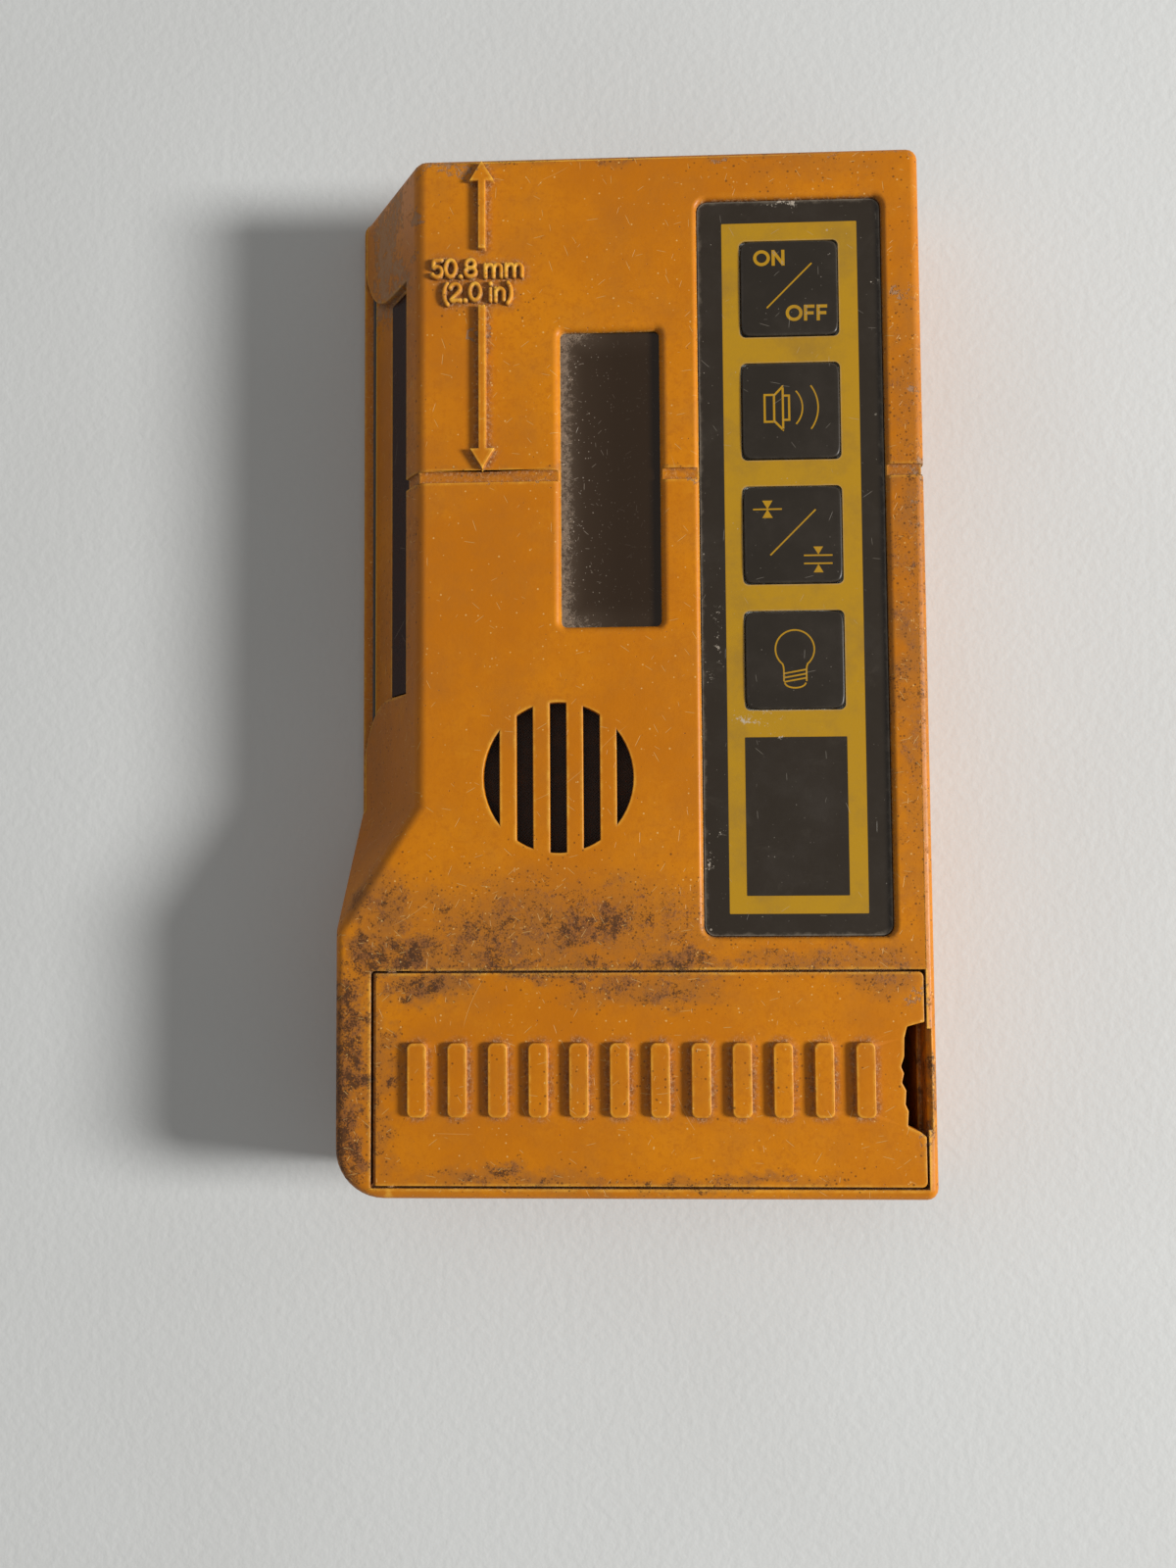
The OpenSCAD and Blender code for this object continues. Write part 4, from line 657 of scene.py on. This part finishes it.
circuit_film, tree, shader, spot, _ = new_finish("circuit_film", IOR=1.57)
tracks = ramp(tree, stripes(tree, product(tree, split(tree, spot)[0], 0.8)), 0.28, 0.22)
dress(tree, shader, product(tree, tracks, 0.02),
      Base_Color=layered(tree, CIRCUIT, (tracks, 0.85, SILVER_INK)),
      Roughness=scaled(tree, noise(tree, spot, 3, 4.0, 0.6), 0.2, 0.2))
spacer_film = moulded("spacer_film", SPACER, SPACER_WORN, 0.3, 1.5, 0.004)
paint(keypad_circuit=circuit_film, sensor_ribbon=circuit_film, keypad_spacer=spacer_film)


# Keys: four raised squares of the black printed face, each with a soft crown and rounded edges, which
# presses its snap dome. Their signs are screen printed in mustard ink, and handling has specked them.
KEY_BLACK = (0.012, 0.0075, 0.003, 1)
KEY_WORN = (0.019, 0.013, 0.0075, 1)
MUSTARD = (0.39, 0.205, 0.005, 1)
MUSTARD_DULL = (0.3, 0.16, 0.012, 1)
SPECK = (0.46, 0.4, 0.32, 1)
KEY_FLANGE = 0.75 * MM
KEY_EDGE = 0.32 * MM
KEY_CROWN = 0.1 * MM
KEY_SQUARE = 12
INK_LIFT = 0.012 * MM
INK_STEP = 0.5


def printed(name, ground, ground_worn):
    """Half glossy printed film: its material and nodes, with its ink in two close tones."""
    material, tree, shader, spot, plane = new_finish(name, IOR=1.5, Specular_IOR_Level=0.28)
    cloud = noise(tree, spot, 8, 6.0, 0.68)
    colour = tint(tree, ramp(tree, cloud, 0.42, 0.78), ground, ground_worn)
    return material, tree, shader, spot, plane, cloud, colour


def scuffed_print(tree, shader, spot, plane, cloud, colour, scoured=0.0):
    """Wear over printed film: specks of lost ink, gathered where it is scoured, hair scratches and rubbed
    edges, whose pale line is partly a painted highlight."""
    tiny = use(tree, specks, Place=spot, Cell=0.7, Size=0.11, Share=0.4)
    large = use(tree, specks, Place=spot, Cell=2.4, Size=0.24, Share=0.3)
    hair = use(tree, hair_scratches, Plane=plane, Cell=3.0, Length=2.2, Width=0.05, Share=0.22, Seed=7)
    gather = ramp(tree, noise(tree, spot, 6, 4.0, 0.65), 0.46, 0.68, 0.12, 1.0)
    gather = calc(tree, "MAXIMUM", gather, scoured)
    lost = product(tree, calc(tree, "MAXIMUM", tiny, large), gather)
    lost = calc(tree, "MAXIMUM", lost, product(tree, hair, 0.55))
    edges = use(tree, rubbed_and_highlit_edges, Place=spot, Reach=0.3)
    rough = scaled(tree, lost, 0.3, scaled(tree, cloud, 0.25, 0.26), clamp=True)
    dress(tree, shader, summed(tree, 0.0, (noise(tree, spot, 0.35, 2.0, 0.5), 0.008), (lost, -0.02)),
          Base_Color=layered(tree, colour, (edges, 0.25, SPECK), (lost, 0.6, SPECK)), Roughness=rough)


key_print = printed("key_print", KEY_BLACK, KEY_WORN)
mustard_print = printed("mustard_print", MUSTARD, MUSTARD_DULL)
for film in (key_print, mustard_print):
    scuffed_print(*film[1:])

# Signs in millimetres from the key's centre: each stroke is a path with its width at the start and the end
BOLD = 0.5
LINE = 0.33
FINE = 0.24
POINT = 0.04
SLASH = [([(-3.5, -3.2), (3.5, 3.8)], FINE, FINE)]


def block_letter(sign, x, y):
    """Strokes of a block letter 2.5 mm high whose lower left corner is at a point."""
    letters = {
        "O": [arc(1.3, 1.25, 1.05, 1.02, 90, 450, 33)],
        "N": [[(0.25, 0), (0.25, 2.5)], [(0.25, 2.3), (1.75, 0.2)], [(1.75, 0), (1.75, 2.5)]],
        "F": [[(0.25, 0), (0.25, 2.5)], [(0.25, 2.25), (1.65, 2.25)], [(0.25, 1.2), (1.5, 1.2)]],
    }
    return [(np.array(stroke) + (x, y), BOLD, BOLD) for stroke in letters[sign]]


def bulb_outline():
    """Round bulb that runs into its neck, three slanted turns of the screw base, and its rounded foot."""
    glass = np.vstack([[(1.72, -3.3), (1.72, -1.5), (1.77, -1.05)], arc(0, 1.62, 2.95, 2.95, -50, 230, 49),
                       [(-1.77, -1.05), (-1.72, -1.5), (-1.72, -3.3)]])
    turns = [np.array([(-1.72, -2.1 - 0.64 * i), (1.72, -1.5 - 0.64 * i)]) for i in range(3)]
    foot = arc(0, -3.45, 1.6, 0.85, 185, 355, 15)
    return [(path, FINE, FINE) for path in [glass, foot] + turns]


def wedge(x, y, width, height):
    """Filled triangle from its flat side at a height to its point."""
    return ([(x, y), (x, y + height)], width, POINT)


KEY_SIGNS = {
    "power": block_letter("O", -5.5, 3.5) + block_letter("N", -2.65, 3.5) + SLASH
    + block_letter("O", -0.6, -5.3) + block_letter("F", 2.2, -5.3) + block_letter("F", 4.15, -5.3),
    "sound": [([(-4.05, -1.75), (-4.05, 2.45), (-2.6, 2.45), (-2.6, -1.75), (-4.05, -1.75)], LINE, LINE),
              ([(-2.6, 2.35), (-1.25, 3.75), (-1.25, -3.05), (-2.6, -1.65)], LINE, LINE),
              ([(-1.25, 2.3), (-0.3, 2.3), (-0.3, -1.5), (-1.25, -1.5)], LINE, LINE),
              (arc(-2.13, 0.42, 3.88, 3.88, -42, 42), FINE, FINE),
              (arc(-1.65, 0.42, 5.8, 5.8, -36, 36), FINE, FINE)],
    "precision": [([(-6.05, 3.95), (-1.65, 3.95)], FINE, FINE), wedge(-3.85, 5.3, 1.6, -1.3),
                  wedge(-3.85, 2.6, 1.6, 1.3), ([(1.6, -3.3), (5.95, -3.3)], FINE, FINE),
                  ([(1.6, -4.55), (5.95, -4.55)], FINE, FINE), wedge(3.8, -1.95, 1.5, -1.2),
                  wedge(3.8, -5.95, 1.5, 1.25)] + SLASH,
    "lamp": bulb_outline(),
}


def crown(x, y, half):
    """Drop of a key's crowned top below its middle, which grows as the square of the distance from it."""
    return KEY_CROWN * np.clip((x / half) ** 2 + (y / half) ** 2, 0, 2) / 2


def key_cap(name, lo, hi, half):
    """Crowned key: a profile from the middle over a quarter round edge and down the side is carried round
    a rounded square, which is a superellipse of the twelfth power."""
    middle = (lo + hi) / 2
    turn = np.linspace(2 * np.pi, 0, 192, endpoint=False)
    round_turn = np.column_stack([np.cos(turn), np.sin(turn)])
    square = np.sign(round_turn) * np.abs(round_turn) ** (2 / KEY_SQUARE)
    flat = np.linspace(0.02, 1, 13) * (half - KEY_EDGE)
    bend = np.linspace(0, np.pi / 2, 7)[1:]
    reach = np.concatenate([flat, half - KEY_EDGE + KEY_EDGE * np.sin(bend), [half]])
    drop = np.concatenate([np.zeros(len(flat)), KEY_EDGE * (1 - np.cos(bend)), [hi.z - lo.z]])
    grid = np.empty((len(reach), len(turn), 3))
    grid[..., :2] = square[None] * reach[:, None, None]
    grid[..., 2] = hi.z - drop[:, None]
    grid[:-1, :, 2] -= crown(grid[:-1, :, 0], grid[:-1, :, 1], half)
    grid[..., :2] += np.array(middle[:2])
    return grid_mesh(name, [grid], True)


def ink_strip(points, wide, narrow, middle, top, half):
    """Flat printed strip along a path, on the key's crown: its sides are the path moved half a width out,
    or at a bend that over the cosine of half its angle. Points are added so that no step is long."""
    points = np.array(points, float)
    run = length_run(points)
    more = np.linspace(0, run[-1], int(run[-1] / INK_STEP) + 2)
    points = along_path(points, run, np.unique(np.concatenate([run, more]).round(4))) * MM
    if np.allclose(points[0], points[-1]):
        around = np.vstack([points[-2], points, points[1]])
    else:
        around = np.vstack([2 * points[0] - points[1], points, 2 * points[-1] - points[-2]])
    steps = np.diff(around, axis=0)
    steps /= np.linalg.norm(steps, axis=1)[:, None]
    sides = np.column_stack([-steps[:, 1], steps[:, 0]])
    mitre = sides[:-1] + sides[1:]
    mitre /= np.maximum((mitre * sides[1:]).sum(axis=1), 0.5)[:, None]
    width = np.linspace(wide, narrow, len(points))[:, None] * MM / 2
    grid = np.empty((len(points), 2, 3))
    grid[:, 0, :2] = points + mitre * width
    grid[:, 1, :2] = points - mitre * width
    grid[..., 2] = top + INK_LIFT - crown(grid[..., 0], grid[..., 1], half)
    grid[..., :2] += np.array(middle)
    return grid


for sign, strokes in KEY_SIGNS.items():
    lo, hi = corners("key_" + sign)
    half = (hi.x - lo.x) / 2 - KEY_FLANGE
    cap = key_cap("key_cap_" + sign, lo, hi, half)
    cap.data.materials.append(key_print[0])
    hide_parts("key_" + sign)
    middle = ((lo + hi) / 2)[:2]
    strips = [ink_strip(*stroke, middle, hi.z, half) for stroke in strokes]
    ink = grid_mesh("key_sign_" + sign, strips, False)
    ink.data.materials.append(mustard_print[0])
    for piece in (cap, ink):
        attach(piece, sign + "_key")


# Keypad face: a polyester sheet bonded into its recess and printed on the back, black with a mustard
# frame that goes round the four keys and a plain black panel below them.
FRAME_LO, FRAME_HI = Vector((14.8, -37.9, 0)), Vector((35.7, 69.2, 0))
PANEL_LO, PANEL_HI = Vector((17.4, -35.2, 0)), Vector((32.9, -11.1, 0))
SHEET_BLACK = (0.015, 0.009, 0.0035, 1)
SHEET_WORN = (0.021, 0.0145, 0.0085, 1)
SCUFF = (0.105, 0.085, 0.062, 1)
# Knocks that have taken the print off, in the form of the front's patches
KNOCKS = [(37.4, 59.2, 0.8, 1, 1.0), (24, 71.6, 4, 0.8, 0.7), (20, -8, 5, 4, 0.45),
          (13.2, 4, 2, 11, 0.38), (13, -29, 2, 8, 0.34)]


def box_share(tree, spot, lo, hi, corner):
    """Distance in from the edge of a rounded box between two corners."""
    return use(tree, box_depth, Place=spot, Centre=tuple((lo + hi) / 2), Half=tuple((hi - lo) / 2),
               Corner=corner)


face_print, tree, shader, spot, plane, cloud, black = printed("face_print", SHEET_BLACK, SHEET_WORN)
sheet_lo, sheet_hi = corners("keypad_overlay", MM)
gold = tint(tree, ramp(tree, cloud, 0.38, 0.75), MUSTARD, MUSTARD_DULL)
shares = [ramp(tree, box_share(tree, spot, lo, hi, 0.15), -0.04, 0.04)
          for lo, hi in ((FRAME_LO, FRAME_HI), (PANEL_LO, PANEL_HI))]
colour = tint(tree, calc(tree, "SUBTRACT", *shares, clamp=True), black, gold)
border = box_share(tree, spot, sheet_lo, sheet_hi, 1.6)
ragged = scaled(tree, noise(tree, spot, 1.5, 5.0, 0.7), 2.2, border)
smear = ramp(tree, noise(tree, spot, 9, 5.0, 0.7, 1.0), 0.56, 0.78, 0, 0.16)
colour = tint(tree, calc(tree, "MAXIMUM", ramp(tree, ragged, 1.7, 0.9, 0, 0.7), smear), colour, SCUFF)
knock = use(tree, blotches, Place=spot, Amount=spread(tree, spot, KNOCKS, sheet_hi.z), Fineness=2.5)
scoured = ramp(tree, split(tree, spot)[0], FRAME_LO.x, sheet_lo.x, 0, 0.9)
scuffed_print(tree, shader, spot, plane, cloud, layered(tree, colour, (knock, 0.75, SPECK)), scoured)
paint(keypad_overlay=face_print)


# Sounder: a brass disc in a black cup on the board, behind a round grille of five slots. A disc of woven
# acoustic cloth between them keeps the dust out.
THREAD = 0.5
CLOTH = (0.013, 0.007, 0.0045, 1)
CLOTH_DUST = (0.045, 0.027, 0.018, 1)
acoustic_cloth, tree, shader, spot, _ = new_finish("acoustic_cloth")
threads = split(tree, spot)
weave = product(tree, *[calc(tree, "SINE", product(tree, threads[i], 2 * math.pi / THREAD))
                        for i in range(2)])
settled = ramp(tree, noise(tree, spot, 3, 5.0, 0.7), 0.45, 0.75)
dress(tree, shader, product(tree, weave, 0.08), Base_Color=tint(tree, settled, CLOTH, CLOTH_DUST),
      Roughness=scaled(tree, settled, 0.15, 0.8))
turned_brass = metal("turned_brass", (0.66, 0.46, 0.17, 1), (0.36, 0.22, 0.09, 1), 0.36, (2, 2, 14))
paint(grille_cloth=acoustic_cloth, buzzer_case=black_moulding, buzzer_disc=turned_brass)


# Boards: green glass-fibre boards with copper tracks under the solder mask, black chips and a white socket.
# The main board is screwed to four pillars behind the front, the sensor board to the inside of the slope.
CHIP_EASE = 0.15 * MM
MASK_GREEN = (0.02, 0.12, 0.045, 1)
TRACK_GREEN = (0.04, 0.19, 0.075, 1)
SOLDER = (0.52, 0.51, 0.48, 1)
solder_mask, tree, shader, spot, plane = new_finish("solder_mask", IOR=1.5)
at = split(tree, plane)
jog = product(tree, calc(tree, "FLOOR", product(tree, noise(tree, plane, 8, 1.0, 0.5), 9)), 0.5)
lanes = [stripes(tree, scaled(tree, at[i], 0.7, jog)) for i in range(2)]
turned = ramp(tree, noise(tree, plane, 14, 1.0, 0.5), 0.49, 0.51)
lane = scaled(tree, lanes[0], turned, product(tree, lanes[1], calc(tree, "SUBTRACT", 1, turned)))
tracks = ramp(tree, lane, 0.2, 0.14)
joints = use(tree, specks, Place=spot, Cell=3.2, Size=0.8, Share=0.5)
colour = tint(tree, tracks, MASK_GREEN, TRACK_GREEN)
dress(tree, shader, summed(tree, 0.0, (tracks, 0.03), (joints, 0.15)), Metallic=joints,
      Base_Color=tint(tree, joints, colour, SOLDER), Roughness=scaled(tree, tracks, 0.08, 0.3))
paint(main_board=solder_mask, sensor_board=solder_mask, board_chips=black_moulding,
      tail_connector=white_moulding, board_screws=plated_steel, sensor_screws=plated_steel)
ease_edges("board_chips", CHIP_EASE)


# Beam window: a strip of dark red filter let into the scoop of the sloped side. Two long light sensors
# lie behind it and meet at the grade line.
FILTER = (0.022, 0.005, 0.003, 1)
FILTER_FILM = (0.056, 0.025, 0.015, 1)
filter_red, tree, shader, spot, plane = new_finish("filter_red", IOR=1.49, Specular_IOR_Level=0.1)
film = ramp(tree, noise(tree, spot, 5, 5.0, 0.65), 0.5, 0.8)
hair = use(tree, hair_scratches, Plane=plane, Cell=5, Length=6, Width=0.06, Share=0.5, Seed=9)
dress(tree, shader, product(tree, hair, -0.01), Roughness=scaled(tree, film, 0.3, 0.25),
      Base_Color=layered(tree, FILTER, (film, 0.5, FILTER_FILM), (hair, 0.4, PANE_GRIT)))
sensor_glass = moulded("sensor_glass", (0.02, 0.022, 0.04, 1), (0.035, 0.036, 0.055, 1), 0.2, 2.0, 0.003)
paint(beam_window=filter_red, light_sensors=sensor_glass)


# Battery bay: a black tray behind the door holds two cells head to tail. Nickel plated plates and springs
# touch their ends, two insulated leads run to the board, and a foam pad on the door steadies the cells.
CELL_EASE = 0.3 * MM
WIRE_EASE = 0.02 * MM
BAND_IN = 14
CELL_BLACK = (0.026, 0.026, 0.029, 1)
CELL_WORN = (0.036, 0.036, 0.038, 1)
CELL_BAND = (0.42, 0.4, 0.36, 1)
CELL_END = (0.58, 0.57, 0.54, 1)
tray_moulding = moulded("tray_moulding", (0.034, 0.033, 0.031, 1), (0.062, 0.058, 0.052, 1), 0.55, 0.8,
                        0.02)
nickel = metal("nickel", (0.64, 0.62, 0.57, 1), (0.44, 0.39, 0.31, 1), 0.32, (6, 6, 6))
lead_sleeve = moulded("lead_sleeve", (0.23, 0.016, 0.014, 1), (0.29, 0.04, 0.034, 1), 0.42, 1.2, 0.005)
pad_foam = moulded("pad_foam", (0.036, 0.036, 0.038, 1), (0.048, 0.047, 0.047, 1), 0.9, 0.4, 0.25)
cell_sleeve, tree, shader, spot, _ = new_finish("cell_sleeve", IOR=1.5, Coat_Weight=0.3,
                                                Coat_Roughness=0.15)
cell_lo, cell_hi = corners("battery_cells", MM)
along = split(tree, spot)[0]
from_ends = calc(tree, "MINIMUM", calc(tree, "SUBTRACT", along, cell_lo.x),
                 calc(tree, "SUBTRACT", cell_hi.x, along))
bare = ramp(tree, from_ends, 1.9, 1.7)
band = ramp(tree, calc(tree, "ABSOLUTE", calc(tree, "SUBTRACT", along, cell_hi.x - BAND_IN)), 5.2, 5.0)
cloud = noise(tree, spot, 5, 4.0, 0.6)
colour = tint(tree, ramp(tree, cloud, 0.4, 0.7), CELL_BLACK, CELL_WORN)
colour = tint(tree, band, colour, CELL_BAND)
dress(tree, shader, product(tree, cloud, 0.02), Base_Color=tint(tree, bare, colour, CELL_END),
      Metallic=bare, Roughness=scaled(tree, cloud, 0.2, 0.22))
paint(battery_tray=tray_moulding, battery_cells=cell_sleeve, contact_plates=nickel, contact_springs=nickel,
      battery_leads=lead_sleeve, door_pad=pad_foam)
ease_edges("battery_cells", CELL_EASE)
ease_edges("contact_springs", WIRE_EASE)
ease_edges("battery_leads", WIRE_EASE)


# Battery door: a flat moulding across the foot that swings on two pins at its left edge. It carries a row
# of raised grip bars, and its latch tongue has broken away and left a ragged gap at the right.
DOOR_EASE = 0.16 * MM
ease_edges("battery_door", DOOR_EASE)
paint(battery_door=scuffed_orange)


# Rear cover: the flat lower half of the case, held by six plated screws over a rubber seal. It carries a
# brass clamp insert and a bare metal plate, and sliding on benches and rods has scratched it.
SCREW_EASE = 0.12 * MM
INSERT_EASE = 0.15 * MM
BACK_FILM = 0.5
BACK_STAINS = [(-30, -60, 12, 10, 0.5), (30, -68, 10, 8, 0.5), (0, 8, 12, 10, 0.4), (-35, 65, 8, 12, 0.45),
               (38, 40, 5, 18, 0.4), (0, -38, 31, 16, 0.3)]
BACK_SCRAPES = [(-36, 70, 8, 9, 0.7), (38, -74, 7, 6, 0.7), (0, 20, 30, 14, 0.5), (-20, -66, 20, 8, 0.5)]
worn_back = orange_plastic("worn_back", BACK_STAINS, BACK_SCRAPES, 0, BACK_FILM)
satin_aluminium = metal("satin_aluminium", (0.66, 0.66, 0.65, 1), (0.56, 0.55, 0.52, 1), 0.42,
                        (0.025, 4.5, 4.5))
ease_edges("rear_cover", SHELL_EASE)
ease_edges("cover_screws", SCREW_EASE)
ease_edges("clamp_insert", INSERT_EASE)
paint(rear_cover=worn_back, cover_seal=black_rubber, cover_screws=plated_steel, clamp_insert=turned_brass,
      rating_plate=satin_aluminium)


# Floor: a pale matt table top, which only carries the object for the picture. It lies a hair below the
# object's back, so that the two share no plane.
FLOOR_HALF = 3.0
FLOOR_DROP = 0.05 * MM
PALE = (0.585, 0.59, 0.575, 1)
PALE_WORN = (0.565, 0.568, 0.552, 1)
x, y = np.meshgrid([-FLOOR_HALF, FLOOR_HALF], [-FLOOR_HALF, FLOOR_HALF])
floor = grid_mesh("floor", [np.dstack([x, y, np.full_like(x, -FLOOR_DROP)])], False)
table, tree, shader, spot, _ = new_finish("table", Roughness=0.9, Specular_IOR_Level=0.0)
peel = noise(tree, spot, 1.6, 2.0, 0.5)
cloud = ramp(tree, noise(tree, spot, 60, 3.0, 0.5), 0.3, 0.7)
dress(tree, shader, product(tree, peel, 0.08), Base_Color=tint(tree, cloud, PALE, PALE_WORN))
floor.data.materials.append(table)


# Light and camera: one large soft lamp at the right, a weaker one at the left and an even sky, and a camera
# over the front face where the photograph was taken from.
SKY = 0.28
BACKDROP = 0.7
# Lamps: name, place and size in metres, and power in watts
LAMPS = [("right_lamp", (1.32, -0.08, 0.74), 0.34, 35.0), ("left_lamp", (-0.9, 0.7, 1.5), 0.9, 1.5)]
EYE = Vector((1.05, -29.0, 219.3)) * MM
EYE_TURN = Vector(np.radians((3.18, 2.22, -0.45)))
LENS = 29.7
SENSOR = 36
NEAREST = 0.01
world = bpy.data.worlds.new("studio")
world.use_nodes = True
tree = world.node_tree
seen = place(tree, "LightPath").outputs
direct = calc(tree, "MAXIMUM", seen["Is Camera Ray"], calc(
    tree, "MAXIMUM", seen["Is Glossy Ray"], seen["Is Transmission Ray"]))
sky = tree.nodes["Background"].inputs
sky["Color"].default_value = (1, 1, 1, 1)
tree.links.new(scaled(tree, direct, BACKDROP - SKY, SKY), sky["Strength"])
bpy.context.scene.world = world
for name, stand, size, power in LAMPS:
    lamp = bpy.data.lights.new(name, "AREA")
    lamp.shape = "DISK"
    lamp.size = size
    lamp.energy = power
    holder = bpy.data.objects.new(name, lamp)
    holder.location = stand
    holder.rotation_euler = (-Vector(stand)).to_track_quat("-Z", "Y").to_euler()
    bpy.context.scene.collection.objects.link(holder)

camera = bpy.data.objects.new("camera", bpy.data.cameras.new("camera"))
camera.data.lens = LENS
camera.data.sensor_width = SENSOR
camera.data.clip_start = NEAREST
camera.location = EYE
camera.rotation_mode = "QUATERNION"
camera.rotation_quaternion = Quaternion(EYE_TURN.normalized(), EYE_TURN.length)
bpy.context.scene.collection.objects.link(camera)
bpy.context.scene.camera = camera
bpy.context.scene.view_settings.view_transform = "Standard"
